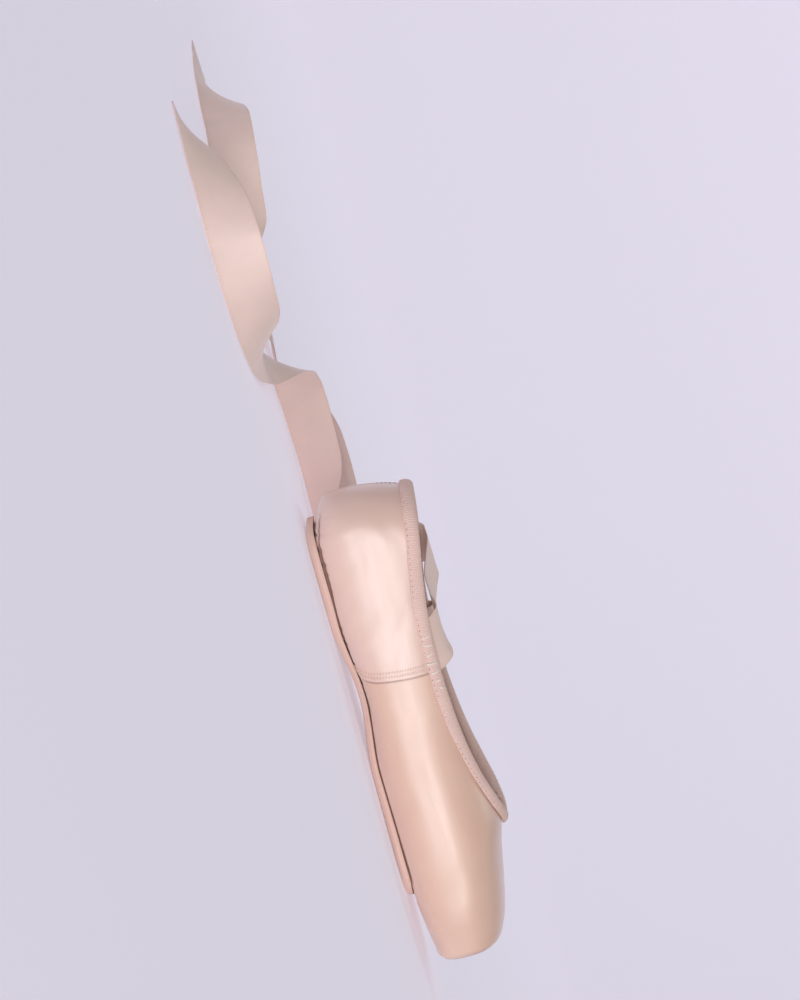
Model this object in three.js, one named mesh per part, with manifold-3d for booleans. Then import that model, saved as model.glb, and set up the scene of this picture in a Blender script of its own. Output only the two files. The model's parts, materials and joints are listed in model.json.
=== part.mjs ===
// A satin pointe shoe on a straight last, standing flat on its leather sole: upper, outsole, insole,
// topline binding, drawstring knot and two ankle ribbons laid down on the floor.
// Millimetres. +X runs from heel to toe, +Y to the left side, +Z up. The origin is on the floor,
// under the middle of the shoe.
import * as THREE from "three";
import { mergeVertices } from "three/addons/utils/BufferGeometryUtils.js";
import Module from "manifold-3d";

// ---- Driving sizes ----
const LENGTH = 220; // heel to platform
const THROAT = 164; // from the heel's back to the point of the throat
const GAP = 0.3; // between pieces that meet
const SOLE = { thick: 2.6, from: 9, to: 190, round: 16, arch: 3.6, tipRise: 1.2, skive: 1.1 };
const SEAT = { heelEnd: 56, ballStart: 128, ballEnd: 176 }; // where the sole leaves and meets the floor
const WALL = { quarter: 1.4, box: 2.8, from: 140, to: 185 }; // cloth and lining, stiffened into the box
const HEEL = { round: 25, power: 2.2, liftOver: 20, lift: 9, lean: 7, leanOver: 60, bulgeAt: 20 };
const RIM = 3.4; // the rounding of the platform's edge
const COLLAR = { share: 0.93, reach: 19, power: 0.8 }; // how the opening widens behind the throat
const INSOLE = { thick: 2.4, clear: 0.9, share: 0.64, from: 15, to: 203, round: 17 };
const BINDING = { leg: 6, thick: 0.9, crest: 1.3, bead: 1.5, throatGain: 0.7 };
const RIBBON = { wide: 22, thick: 0.6, steps: 80, columns: 2, rest: 0.05 };
const SECTION_POWER = { lower: 3.2, upper: 2.55 }; // squareness of the last below and above its widest line

// The last, a row for each section. fromHeel along the sole, half of the width at its widest, the height of
// that line, and the height of the crown, which over the opening is only the form that the sides follow.
const LAST = [
  { fromHeel: 0, half: 25.6, widest: 23.0, crown: 79.0 },
  { fromHeel: 20, half: 27.4, widest: 22.6, crown: 74.0 },
  { fromHeel: 40, half: 28.4, widest: 22.2, crown: 67.5 },
  { fromHeel: 60, half: 29.2, widest: 22.0, crown: 61.2 },
  { fromHeel: 80, half: 30.6, widest: 21.9, crown: 57.2 },
  { fromHeel: 100, half: 33.0, widest: 22.0, crown: 54.6 },
  { fromHeel: 120, half: 36.2, widest: 22.2, crown: 52.9 },
  { fromHeel: 140, half: 39.0, widest: 22.4, crown: 52.0 },
  { fromHeel: 154, half: 40.2, widest: 22.5, crown: 51.8 },
  { fromHeel: 164, half: 40.3, widest: 22.5, crown: 51.3 },
  { fromHeel: 176, half: 39.2, widest: 22.3, crown: 48.2 },
  { fromHeel: 190, half: 36.4, widest: 21.8, crown: 45.4 },
  { fromHeel: 200, half: 33.2, widest: 21.3, crown: 43.3 },
  { fromHeel: 208, half: 30.0, widest: 20.9, crown: 41.2 },
  { fromHeel: 214, half: 27.6, widest: 20.6, crown: 38.8 },
  { fromHeel: 220, half: 25.2, widest: 20.4, crown: 35.6 },
];

// Half the width of the outsole, and of the hole that it closes in the upper.
const SOLE_WIDTHS = [
  { fromHeel: 9, half: 17.5 },
  { fromHeel: 30, half: 19.5 },
  { fromHeel: 60, half: 17.6 },
  { fromHeel: 88, half: 16.2 },
  { fromHeel: 115, half: 19.4 },
  { fromHeel: 145, half: 24.6 },
  { fromHeel: 165, half: 26.2 },
  { fromHeel: 190, half: 24.0 },
];
const HOLE = { from: 30, to: 172, inset: 8.5, round: 9 };

// Where each ribbon's middle line runs: the place, the way it heads in plan, and how far it is turned on edge.
// Headings are in degrees from +X towards +Y. bank 0 lies flat, and 90 stands on its edge.
const LEFT_RIBBON = [
  { x: -25, y: 28, z: 16, heading: 95, bank: 0 },
  { x: -26.6, y: 28.1, z: 23, heading: 95, bank: 0 },
  { x: -28.2, y: 27.2, z: 30, heading: 95, bank: 0 },
  { x: -29.8, y: 25.2, z: 36.6, heading: 95, bank: 0 },
  { x: -31.2, y: 23.3, z: 42, heading: 95, bank: 0 },
  { x: -32, y: 24.9, z: 45.2, heading: 95, bank: 0 },
  { x: -32.8, y: 28.2, z: 45.8, heading: 95, bank: 0 },
  { x: -33.6, y: 31, z: 42, heading: 95, bank: 0 },
  { x: -35, y: 32, z: 32, heading: 96, bank: 0 },
  { x: -36.6, y: 33.2, z: 20, heading: 97, bank: 0 },
  { x: -38.2, y: 36.4, z: 9, heading: 99, bank: 0 },
  { x: -39.8, y: 42.4, z: 2.4, heading: 102, bank: 0 },
  { x: -41.5, y: 51, z: 0.6, heading: 104, bank: 0 },
  { x: -46.5, y: 70.5, z: 0.6, heading: 106, bank: 0 },
  { x: -54, y: 90, z: 6.2, heading: 117, bank: 31 },
  { x: -65, y: 106.5, z: 10.2, heading: 134, bank: 63 },
  { x: -81.5, y: 118, z: 10.8, heading: 157, bank: 72 },
  { x: -102, y: 122, z: 11.2, heading: 181, bank: 83 },
  { x: -121.5, y: 118.5, z: 11, heading: 197, bank: 76 },
  { x: -140, y: 111, z: 9, heading: 206, bank: 50 },
  { x: -158.5, y: 101.5, z: 1, heading: 209, bank: 2 },
  { x: -176, y: 92, z: 3.4, heading: 209, bank: 0 },
  { x: -194, y: 82, z: 2.2, heading: 208, bank: 0 },
  { x: -211.5, y: 73.5, z: 3.2, heading: 202, bank: -13 },
  { x: -232, y: 67, z: 8.8, heading: 189, bank: -48 },
  { x: -251.5, y: 68, z: 10, heading: 166, bank: -60 },
  { x: -269.5, y: 76.5, z: 11, heading: 143, bank: -77 },
  { x: -283, y: 92.5, z: 11.2, heading: 120, bank: -83 },
  { x: -292, y: 110.5, z: 9.2, heading: 110, bank: -53 },
  { x: -298, y: 129.5, z: 4.2, heading: 107, bank: -19 },
  { x: -304.5, y: 149.5, z: 0.6, heading: 109, bank: 0 },
  { x: -311.5, y: 168, z: 0.8, heading: 112, bank: 0 },
];
const RIGHT_RIBBON = [
  { x: -22, y: -27.6, z: 18.5, heading: 84, bank: 0 },
  { x: -26, y: -27.9, z: 26, heading: 84, bank: 0 },
  { x: -29.6, y: -25.4, z: 33.4, heading: 85, bank: 0 },
  { x: -32.8, y: -22.2, z: 40, heading: 83, bank: 0 },
  { x: -36, y: -19.2, z: 45.4, heading: 86, bank: 0 },
  { x: -40, y: -14, z: 48.2, heading: 98, bank: 0 },
  { x: -46, y: -5, z: 47, heading: 112, bank: 0 },
  { x: -53, y: 6, z: 46.8, heading: 119, bank: 0 },
  { x: -60, y: 16.6, z: 49.6, heading: 120, bank: 0 },
  { x: -66, y: 25.6, z: 51.8, heading: 118, bank: 0 },
  { x: -70.2, y: 31.4, z: 49.4, heading: 113, bank: 0 },
  { x: -72.6, y: 32.4, z: 42, heading: 108, bank: 0 },
  { x: -74.6, y: 32.3, z: 32, heading: 106, bank: 0 },
  { x: -77, y: 33, z: 18, heading: 107, bank: 0 },
  { x: -79.4, y: 36.8, z: 6.4, heading: 111, bank: 0 },
  { x: -81.5, y: 44, z: 0.6, heading: 114, bank: 0 },
  { x: -93.5, y: 61, z: 7, heading: 136, bank: 37 },
  { x: -111, y: 72, z: 10.6, heading: 162, bank: 67 },
  { x: -132, y: 73, z: 11, heading: 194, bank: 78 },
  { x: -150, y: 63, z: 11.2, heading: 225, bank: 86 },
  { x: -162, y: 46, z: 10.8, heading: 243, bank: 72 },
  { x: -169, y: 26, z: 9.2, heading: 255, bank: 53 },
  { x: -173.5, y: 5.5, z: 3.2, heading: 260, bank: 14 },
  { x: -177.5, y: -15, z: 3.6, heading: 260, bank: 0 },
  { x: -181.5, y: -35, z: 5.4, heading: 257, bank: -22 },
  { x: -187.5, y: -55, z: 8.6, heading: 247, bank: -46 },
  { x: -198, y: -73, z: 10.4, heading: 229, bank: -63 },
  { x: -215, y: -84.5, z: 11, heading: 199, bank: -75 },
  { x: -235.5, y: -86, z: 11.2, heading: 170, bank: -86 },
  { x: -255.5, y: -79.5, z: 10.2, heading: 156, bank: -62 },
  { x: -274, y: -69.5, z: 6.6, heading: 149, bank: -34 },
  { x: -292, y: -58.5, z: 0.6, heading: 148, bank: 0 },
];

const COLOURS = {
  satin: { color: 0xf0cfba, roughness: 0.38 },
  binding: { color: 0xe8cdc2, roughness: 0.8 },
  ribbon: { color: 0xf1d3c4, roughness: 0.42 },
  leather: { color: 0xd9b593, roughness: 0.75 },
  canvas: { color: 0xeadfd0, roughness: 0.9 },
};

const wasm = await Module();
wasm.setup();

// ---- Plain helpers ----
const smooth = (from, to, at) => THREE.MathUtils.smoothstep(at, from, to);

// A value between the rows of a table, on a smooth curve through them all.
function along(table, column, at) {
  const last = table.length - 1;
  const i = THREE.MathUtils.clamp(table.findIndex((row) => row.fromHeel >= at) - 1, 0, last - 1);
  const k = at > table[last].fromHeel ? last - 1 : i;
  const slope = (j) => {
    const a = table[Math.max(j - 1, 0)];
    const b = table[Math.min(j + 1, last)];
    return (b[column] - a[column]) / (b.fromHeel - a.fromHeel);
  };
  const [a, b] = [table[k], table[k + 1]];
  const step = b.fromHeel - a.fromHeel;
  const t = THREE.MathUtils.clamp((at - a.fromHeel) / step, 0, 1);
  const [t2, t3] = [t * t, t * t * t];
  return (
    a[column] * (2 * t3 - 3 * t2 + 1) +
    b[column] * (3 * t2 - 2 * t3) +
    slope(k) * step * (t3 - 2 * t2 + t) +
    slope(k + 1) * step * (t3 - t2)
  );
}

// How far an arc of this radius has still to go, at a distance from its end.
const inset = (radius, distance) =>
  distance >= radius ? 0 : radius - Math.sqrt(radius ** 2 - (radius - distance) ** 2);

// ---- The last ----
// The floor side of the sole: flat under heel and ball, raised at the arch and at the tip.
function ground(fromHeel) {
  const middle = (SEAT.heelEnd + SEAT.ballStart) / 2;
  const span = (SEAT.ballStart - SEAT.heelEnd) / 2;
  const share = Math.max(0, 1 - Math.abs(fromHeel - middle) / span);
  const arch = SOLE.arch * (3 * share ** 2 - 2 * share ** 3);
  return arch + SOLE.tipRise * smooth(SEAT.ballEnd, LENGTH, fromHeel);
}

const wallAt = (fromHeel) =>
  THREE.MathUtils.lerp(WALL.quarter, WALL.box, smooth(WALL.from, WALL.to, fromHeel));

// How far the underside curls up at the back of the heel.
const heelLift = (fromHeel) => HEEL.lift * (1 - Math.min(1, fromHeel / HEEL.liftOver)) ** 2;

// The sizes of the section at a distance from the heel.
function sizes(fromHeel) {
  const rim = inset(RIM, LENGTH - fromHeel);
  const round = Math.min(1, fromHeel / HEEL.round);
  const heelShare = (1 - (1 - round) ** HEEL.power) ** (1 / HEEL.power);
  const toeLift = 1.6 * smooth(SOLE.to, LENGTH, fromHeel);
  return {
    half: heelShare * (along(LAST, "half", fromHeel) - rim),
    widest: along(LAST, "widest", fromHeel),
    crown: along(LAST, "crown", fromHeel) - rim,
    belly: ground(fromHeel) + SOLE.thick + GAP + heelLift(fromHeel) + toeLift + rim,
  };
}

// A point of the last. turn runs round the section, from 0 under the foot to PI at the crown.
// A negative fromHeel is the same place on the right side.
function lastPoint(fromHeel, turn) {
  const side = fromHeel < 0 ? -1 : 1;
  const at = Math.min(Math.abs(fromHeel), LENGTH);
  const { half, widest, crown, belly } = sizes(at);
  const [s, c] = [Math.abs(Math.sin(turn)), Math.cos(turn)];
  const power = c > 0 ? SECTION_POWER.lower : SECTION_POWER.upper;
  const reach = (s ** power + Math.abs(c) ** power) ** (-1 / power);
  const z = widest - (c > 0 ? widest - belly : crown - widest) * reach * c;
  const away = (z - HEEL.bulgeAt) / (crown - HEEL.bulgeAt);
  const lean = HEEL.lean * 3.2 * away ** 2 * (1 - smooth(0, HEEL.leanOver, at));
  return new THREE.Vector3(at + lean - LENGTH / 2, side * half * reach * s, z);
}

// The turn at which the upper stops, at its topline.
function toplineTurn(fromHeel) {
  const behind = THROAT - Math.abs(fromHeel);
  if (behind <= 0) return Math.PI;
  const share = COLLAR.share * (1 - Math.exp(-((behind / COLLAR.reach) ** COLLAR.power)));
  const power = SECTION_POWER.upper;
  return Math.PI - Math.atan2(share, (1 - share ** power) ** (1 / power));
}

// ---- Meshes ----
// A closed body from rings of points: each ring is joined to the next, and the ends are capped unless the
// rings close on themselves. turned picks the columns whose faces are split along their other diagonal, so
// that the two sides of a thin twisted strip fold alike.
function fromRings(rings, closed = false, turned = () => false) {
  const size = rings[0].length;
  const positions = rings.flatMap((ring) => ring.flatMap((p) => p.toArray()));
  const index = [];
  const joins = closed ? rings.length : rings.length - 1;
  for (let i = 0; i < joins; i++) {
    const [a, b] = [i * size, ((i + 1) % rings.length) * size];
    for (let j = 0; j < size; j++) {
      const k = (j + 1) % size;
      if (turned(j)) index.push(a + j, b + j, a + k, b + j, b + k, a + k);
      else index.push(a + j, b + j, b + k, a + j, b + k, a + k);
    }
  }
  if (!closed) {
    const base = (rings.length - 1) * size;
    for (let j = 1; j < size - 1; j++) index.push(0, j, j + 1);
    for (let j = 1; j < size - 1; j++) index.push(base, base + j + 1, base + j);
  }
  return geometryOf(positions, index);
}

function geometryOf(positions, index) {
  const geometry = new THREE.BufferGeometry();
  geometry.setAttribute("position", new THREE.Float32BufferAttribute(positions, 3));
  geometry.setIndex(index);
  return mergeVertices(geometry, 1e-3);
}

function solidOf(geometry) {
  const bare = new THREE.BufferGeometry();
  bare.setAttribute("position", geometry.getAttribute("position"));
  if (geometry.index) bare.setIndex(geometry.index);
  const merged = mergeVertices(bare, 1e-3);
  const vertProperties = merged.attributes.position.array;
  const triVerts = new Uint32Array(merged.index.array);
  const solid = new wasm.Manifold(new wasm.Mesh({ numProp: 3, vertProperties, triVerts }));
  if (solid.volume() > 0) return solid;
  for (let i = 0; i < triVerts.length; i += 3) triVerts.subarray(i, i + 3).reverse();
  return new wasm.Manifold(new wasm.Mesh({ numProp: 3, vertProperties, triVerts }));
}

function geometryFrom(solid) {
  const { vertProperties, triVerts } = solid.getMesh();
  return geometryOf(Array.from(vertProperties), Array.from(triVerts));
}

function mesh(name, solid, colour) {
  const material = new THREE.MeshStandardMaterial({ ...colour, metalness: 0 });
  const made = new THREE.Mesh(geometryFrom(solid), material);
  made.name = name;
  return made;
}

// ---- Upper ----
// Stations are close together where the heel, the throat and the platform's rim turn fastest.
function stations() {
  const places = [0];
  for (let i = 1; i <= 7; i++) places.push(HEEL.round * (1 - Math.cos((i / 7) * (Math.PI / 2))));
  for (let at = 34; at <= 130; at += 8) places.push(at);
  for (const behind of [29, 24, 19.5, 15.5, 12, 9, 6.4, 4.2, 2.4, 1, 0.2, 0]) places.push(THROAT - behind);
  for (let at = 171; at <= 213; at += 7) places.push(at);
  for (let i = 1; i <= 4; i++) places.push(LENGTH - RIM * (1 - Math.sin((i / 4) * (Math.PI / 2))));
  return places;
}

// A sheet over the last, pulled in from it by insetAt, as rows of vertex numbers on the two sides.
const AROUND = 14;
function upperSolid() {
  const places = stations();
  const rightFirst = [...places.slice(1).reverse().map((at) => -at), ...places];
  const outside = rightFirst.map((at) =>
    Array.from({ length: AROUND + 1 }, (_, j) => lastPoint(at, (toplineTurn(at) * j) / AROUND)),
  );
  const skin = sheet(outside);
  const normals = skin.normals;
  const inside = outside.map((row, i) =>
    row.map((p, j) => p.clone().addScaledVector(normals[i][j], -wallAt(Math.abs(rightFirst[i])))),
  );
  return closedShell(rightFirst, outside, inside);
}

// The outward normal at every point of a grid, averaged over the faces that meet there.
function sheet(grid) {
  const positions = grid.flatMap((row) => row.flatMap((p) => p.toArray()));
  const geometry = new THREE.BufferGeometry();
  geometry.setAttribute("position", new THREE.Float32BufferAttribute(positions, 3));
  geometry.setIndex(gridFaces(grid.length, grid[0].length));
  const merged = mergeVertices(withPlatform(geometry, grid), 1e-3);
  merged.computeVertexNormals();
  const find = new Map();
  const key = (x, y, z) => [x, y, z].map((v) => Math.round(v * 100)).join();
  const [at, normal] = [merged.attributes.position, merged.attributes.normal];
  for (let i = 0; i < at.count; i++) {
    find.set(
      key(at.getX(i), at.getY(i), at.getZ(i)),
      new THREE.Vector3().fromBufferAttribute(normal, i),
    );
  }
  const normals = grid.map((row) => row.map((p) => find.get(key(...p.toArray().map(Math.fround)))));
  return { normals };
}

// The faces of a grid of vertices.
function gridFaces(rows, columns) {
  const index = [];
  for (let i = 0; i < rows - 1; i++) {
    for (let j = 0; j < columns - 1; j++) {
      const a = i * columns + j;
      const [b, c, d] = [a + columns, a + columns + 1, a + 1];
      index.push(a, c, b, a, d, c);
    }
  }
  return index;
}

// The first and last rows of the grid are the platform's two halves: a strip of faces joins them.
function withPlatform(geometry, grid) {
  const columns = grid[0].length;
  const last = (grid.length - 1) * columns;
  const index = Array.from(geometry.index.array);
  for (let j = 0; j < columns - 1; j++) {
    index.push(last + j, j + 1, j, last + j, last + j + 1, j + 1);
  }
  geometry.setIndex(index);
  return geometry;
}

function closedShell(places, outside, inside) {
  const [rows, columns] = [outside.length, outside[0].length];
  const positions = [...outside, ...inside].flatMap((row) => row.flatMap((p) => p.toArray()));
  const skin = withPlatform(flatGeometry(outside), outside).index.array;
  const inner = rows * columns;
  const index = Array.from(skin);
  for (let i = 0; i < skin.length; i += 3) {
    index.push(inner + skin[i], inner + skin[i + 2], inner + skin[i + 1]);
  }
  for (let i = 0; i < rows - 1; i++) {
    if (Math.max(Math.abs(places[i]), Math.abs(places[i + 1])) > THROAT + 1e-6) continue;
    const a = i * columns + columns - 1;
    const b = a + columns;
    index.push(a, b + inner, b, a, a + inner, b + inner);
  }
  return solidOf(geometryOf(positions, index));
}

function flatGeometry(grid) {
  const geometry = new THREE.BufferGeometry();
  const positions = grid.flatMap((row) => row.flatMap((p) => p.toArray()));
  geometry.setAttribute("position", new THREE.Float32BufferAttribute(positions, 3));
  geometry.setIndex(gridFaces(grid.length, grid[0].length));
  return geometry;
}

// The outline of the hole under the foot, which the outsole closes.
function holeSolid() {
  const outline = [];
  const steps = 24;
  for (let i = 0; i <= steps; i++) {
    const at = THREE.MathUtils.lerp(HOLE.from, HOLE.to, i / steps);
    const end = Math.min(at - HOLE.from, HOLE.to - at);
    const half = along(SOLE_WIDTHS, "half", at) - HOLE.inset - inset(HOLE.round, end);
    outline.push(new THREE.Vector2(at - LENGTH / 2, Math.max(half, 0.5)));
  }
  const mirrored = outline.map((p) => new THREE.Vector2(p.x, -p.y)).reverse();
  const shape = new THREE.Shape([...outline, ...mirrored]);
  const depth = 14;
  return solidOf(new THREE.ExtrudeGeometry(shape, { depth, bevelEnabled: false, steps: 1 }));
}

// ---- Outsole and insole ----
// A plate over a row of stations: columns run from one edge to the other, and low and high give its two faces.
function plate(places, columns, halfAt, low, high) {
  const rings = places.map((at) => {
    const half = halfAt(at);
    const across = Array.from({ length: columns + 1 }, (_, j) => (2 * j) / columns - 1);
    const x = at - LENGTH / 2;
    const top = across.map((s) => new THREE.Vector3(x, s * half, high(at, s * half, s)));
    const bottom = across.map((s) => new THREE.Vector3(x, s * half, low(at, s * half, s)));
    return [...top, ...bottom.reverse()];
  });
  return solidOf(fromRings(rings));
}

// Stations from one end of a plate to the other, following the roundings of its ends.
function spread({ from, to, round }, count) {
  const places = [];
  for (let i = 0; i < 7; i++) places.push(round * (1 - Math.cos(((i / 7) * Math.PI) / 2)));
  const middle = Array.from({ length: count + 1 }, (_, i) =>
    THREE.MathUtils.lerp(from + round, to - round, i / count),
  );
  return [...places.map((p) => from + p), ...middle, ...places.reverse().map((p) => to - p)];
}

// The half width of a plate, closing round at both its ends onto a short straight edge.
function roundedHalf(half, at, { from, to, round }) {
  const end = Math.min(at - from, to - at);
  return Math.max(half * (1 - inset(round, Math.max(end, 0)) / round), 0.16 * half);
}

// The height of the last at a place under the foot, or of the form that lies depth inside it.
function underside(fromHeel, y, depth = 0) {
  const { half, widest, belly } = sizes(fromHeel);
  const share = Math.min(Math.abs(y) / Math.max(half - depth, 1), 1);
  const power = SECTION_POWER.lower;
  return widest - (widest - belly - depth) * (1 - share ** power) ** (1 / power);
}

// The outsole is flat where it stands, skived at its edge, and its top follows the upper.
function outsole() {
  const halfAt = (at) => roundedHalf(along(SOLE_WIDTHS, "half", at), at, SOLE);
  const skive = (s) => SOLE.skive * Math.max(0, (Math.abs(s) - 0.72) / 0.28) ** 2;
  const curl = (at) => 0.75 * heelLift(at);
  const low = (at, y, s) => ground(at) + skive(s) + curl(at);
  const high = (at, y, s) => Math.min(underside(at, y) - 1.3 * GAP, low(at, y, s) + SOLE.thick + 0.4);
  return plate(spread(SOLE, 20), 10, halfAt, low, high);
}

function insole() {
  const halfAt = (at) => roundedHalf(INSOLE.share * along(LAST, "half", at), at, INSOLE);
  const low = (at, y) => underside(at, y, wallAt(at)) + INSOLE.clear;
  const high = (at, y) => low(at, y) + INSOLE.thick;
  return plate(spread(INSOLE, 18), 8, halfAt, low, high);
}

// ---- Binding over the topline ----
// Steps round the topline, right side first, from the throat to the heel and back on the left.
function toplinePlaces() {
  const left = stations().filter((at) => at <= THROAT + 1e-6);
  return [...left.slice(1).reverse().map((at) => -at), ...left.slice(0, -1)];
}

// The last's surface at a place: two directions along it and its outward normal.
function surfaceAt(place, turn) {
  const e = 1e-3;
  const root = Math.sign(place) * Math.sqrt(Math.abs(place));
  const at = (r, t) => lastPoint(Math.sign(r) * r * r || 1e-9, t);
  const lengthwise = at(root + e, turn).sub(at(root - e, turn)).divideScalar(2 * e);
  const round = lastPoint(place || 1e-9, Math.min(turn + e, Math.PI))
    .sub(lastPoint(place || 1e-9, turn - e))
    .divideScalar(Math.min(turn + e, Math.PI) - turn + e);
  if (turn > Math.PI - 1e-6) round.set(0, place < 0 ? 1 : -1, 0).multiplyScalar(sizes(Math.abs(place)).half);
  const normal = new THREE.Vector3().crossVectors(round, lengthwise).normalize();
  return { point: lastPoint(place || 1e-9, turn), root, lengthwise, round, normal };
}

function bindingSolid() {
  const places = toplinePlaces();
  const edge = places.map((at) => lastPoint(at || 1e-9, toplineTurn(at)));
  const count = places.length;
  const rings = places.map((place, i) => {
    const turn = toplineTurn(place);
    const here = surfaceAt(place, turn);
    const run = edge[(i + 1) % count].clone().sub(edge[(i + count - 1) % count]).normalize();
    const down = new THREE.Vector3().crossVectors(here.normal, run).normalize();
    const towards = (depth) => stepAlong(here, turn, down, depth);
    const wall = wallAt(Math.abs(place));
    const full = 1 + BINDING.throatGain * smooth(THROAT - 45, THROAT, Math.abs(place));
    const [thick, bead] = [BINDING.thick * full, BINDING.bead * full];
    const shifted = (depth, off) => {
      const { point, normal } = towards(depth);
      return point.addScaledVector(normal, off);
    };
    const [near, far] = [GAP, -(wall + 1.9 * GAP)];
    const { leg, crest } = BINDING;
    return [
      shifted(leg, near),
      shifted(leg, near + thick * 0.8),
      shifted(leg * 0.45, near + bead),
      shifted(0, near + thick * 1.3),
      shifted(-crest, -wall / 2),
      shifted(0, far - thick * 1.3),
      shifted(leg * 0.45, far - thick * 1.2),
      shifted(leg, far - thick * 0.8),
      shifted(leg, far),
      shifted(leg * 0.45, far),
      shifted(-GAP, far),
      shifted(-GAP, near),
      shifted(leg * 0.45, near),
    ];
  });
  return solidOf(fromRings(rings, true));
}

// The place reached by going a distance over the last, in a direction along its surface.
function stepAlong(here, turn, direction, distance) {
  const { lengthwise: a, round: b, root } = here;
  const [aa, ab, bb] = [a.dot(a), a.dot(b), b.dot(b)];
  const [ad, bd] = [a.dot(direction) * distance, b.dot(direction) * distance];
  const det = aa * bb - ab * ab;
  const newRoot = root + (ad * bb - bd * ab) / det;
  const newTurn = turn + (bd * aa - ad * ab) / det;
  if (distance < 0) {
    return { point: here.point.clone().addScaledVector(direction, distance), normal: here.normal.clone() };
  }
  const crossed = newTurn > Math.PI;
  const place = (crossed ? -1 : 1) * Math.sign(newRoot) * newRoot ** 2;
  const { point, normal } = surfaceAt(place, crossed ? 2 * Math.PI - newTurn : newTurn);
  return { point, normal };
}

// ---- Ribbons and drawstring ----
// A flat strip along a route, its width square to the heading and tipped by the bank. Where a tipped edge would
// go through the floor, the strip is lifted onto it.
function ribbonSolid(route) {
  const points = route.map((p) => new THREE.Vector3(p.x, p.y, p.z));
  const curve = new THREE.CatmullRomCurve3(points, false, "centripetal");
  const across = Array.from({ length: RIBBON.columns + 1 }, (_, i) => (2 * i) / RIBBON.columns - 1);
  const rings = Array.from({ length: RIBBON.steps + 1 }, (_, i) => {
    const t = i / RIBBON.steps;
    const at = t * (route.length - 1);
    const k = Math.min(Math.floor(at), route.length - 2);
    const mix = (column) => THREE.MathUtils.lerp(route[k][column], route[k + 1][column], at - k);
    const [heading, bank] = [mix("heading"), mix("bank")].map(THREE.MathUtils.degToRad);
    const tangent = curve.getTangent(t);
    const level = new THREE.Vector3(-Math.sin(heading), Math.cos(heading), 0);
    const width = level.addScaledVector(tangent, -level.dot(tangent)).normalize();
    width.applyAxisAngle(tangent, bank);
    const face = new THREE.Vector3().crossVectors(tangent, width).normalize();
    const centre = curve.getPoint(t);
    const row = (side) =>
      across.map((a) =>
        centre
          .clone()
          .addScaledVector(width, (a * RIBBON.wide) / 2)
          .addScaledVector(face, (side * RIBBON.thick) / 2),
      );
    const ring = [...row(-1), ...row(1).reverse()];
    const sunk = RIBBON.rest - Math.min(...ring.map((p) => p.z));
    return sunk > 0 ? ring.map((p) => p.setZ(p.z + sunk)) : ring;
  });
  return solidOf(fromRings(rings, false, (j) => j > RIBBON.columns));
}

// A small knot behind the point of the throat, with its two cut ends.
function knotSolid() {
  const middle = lastPoint(THROAT, Math.PI).add(new THREE.Vector3(-3.9, 0, 0.4));
  const ball = solidOf(new THREE.SphereGeometry(1.9, 10, 8)).translate(middle.toArray());
  return [-1, 1].reduce((knot, side) => {
    const path = new THREE.CatmullRomCurve3([
      new THREE.Vector3(middle.x, middle.y, middle.z),
      new THREE.Vector3(middle.x - 2.6, middle.y + side * 2.0, middle.z + 0.9),
      new THREE.Vector3(middle.x - 5.4, middle.y + side * 3.6, middle.z - 0.6),
    ]);
    const round = new THREE.Shape().absarc(0, 0, 0.7, 0, 2 * Math.PI);
    const options = { extrudePath: path, steps: 6, bevelEnabled: false, curveSegments: 4 };
    return knot.add(solidOf(new THREE.ExtrudeGeometry(round, options)));
  }, ball);
}

const shoe = new THREE.Group();
shoe.name = "pointe_shoe";
shoe.add(
  mesh("outsole", outsole(), COLOURS.leather),
  mesh("insole", insole(), COLOURS.canvas),
  mesh("upper", upperSolid().subtract(holeSolid()), COLOURS.satin),
  mesh("topline_binding", bindingSolid(), COLOURS.binding),
  mesh("drawstring_knot", knotSolid(), COLOURS.binding),
  mesh("ribbon_left", ribbonSolid(LEFT_RIBBON), COLOURS.ribbon),
  mesh("ribbon_right", ribbonSolid(RIGHT_RIBBON), COLOURS.ribbon),
);

export default shoe;
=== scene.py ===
import json
import math

import bpy
import numpy as np
from bpy.props import FloatProperty, FloatVectorProperty, PointerProperty
from mathutils import Matrix, Vector, noise

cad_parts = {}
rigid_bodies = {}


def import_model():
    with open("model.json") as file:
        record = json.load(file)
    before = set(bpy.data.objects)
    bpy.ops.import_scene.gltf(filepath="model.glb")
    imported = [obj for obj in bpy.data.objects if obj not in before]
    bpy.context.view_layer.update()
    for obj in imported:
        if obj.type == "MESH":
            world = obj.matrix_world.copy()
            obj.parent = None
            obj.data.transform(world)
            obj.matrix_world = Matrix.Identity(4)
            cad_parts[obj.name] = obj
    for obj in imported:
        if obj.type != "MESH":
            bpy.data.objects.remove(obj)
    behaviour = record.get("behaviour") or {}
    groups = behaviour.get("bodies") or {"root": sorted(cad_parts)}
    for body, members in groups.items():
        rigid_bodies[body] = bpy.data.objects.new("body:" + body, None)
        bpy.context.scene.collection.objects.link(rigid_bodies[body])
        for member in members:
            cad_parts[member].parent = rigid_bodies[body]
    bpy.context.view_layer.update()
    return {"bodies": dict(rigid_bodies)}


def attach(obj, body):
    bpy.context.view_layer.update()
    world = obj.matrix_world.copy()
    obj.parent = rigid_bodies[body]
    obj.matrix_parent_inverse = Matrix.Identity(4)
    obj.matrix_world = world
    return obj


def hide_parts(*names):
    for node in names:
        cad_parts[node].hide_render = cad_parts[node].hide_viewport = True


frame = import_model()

bl_info = {
    "name": "Pointe Shoe",
    "version": (1, 0, 0),
    "blender": (4, 5, 0),
    "location": "View3D > Sidebar > Pointe Shoe",
    "description": "Satin pointe shoe with bound topline, leather sole and two ankle ribbons",
    "category": "Object",
}

BODY = next(iter(frame["bodies"]))
MM = 0.001

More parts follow.
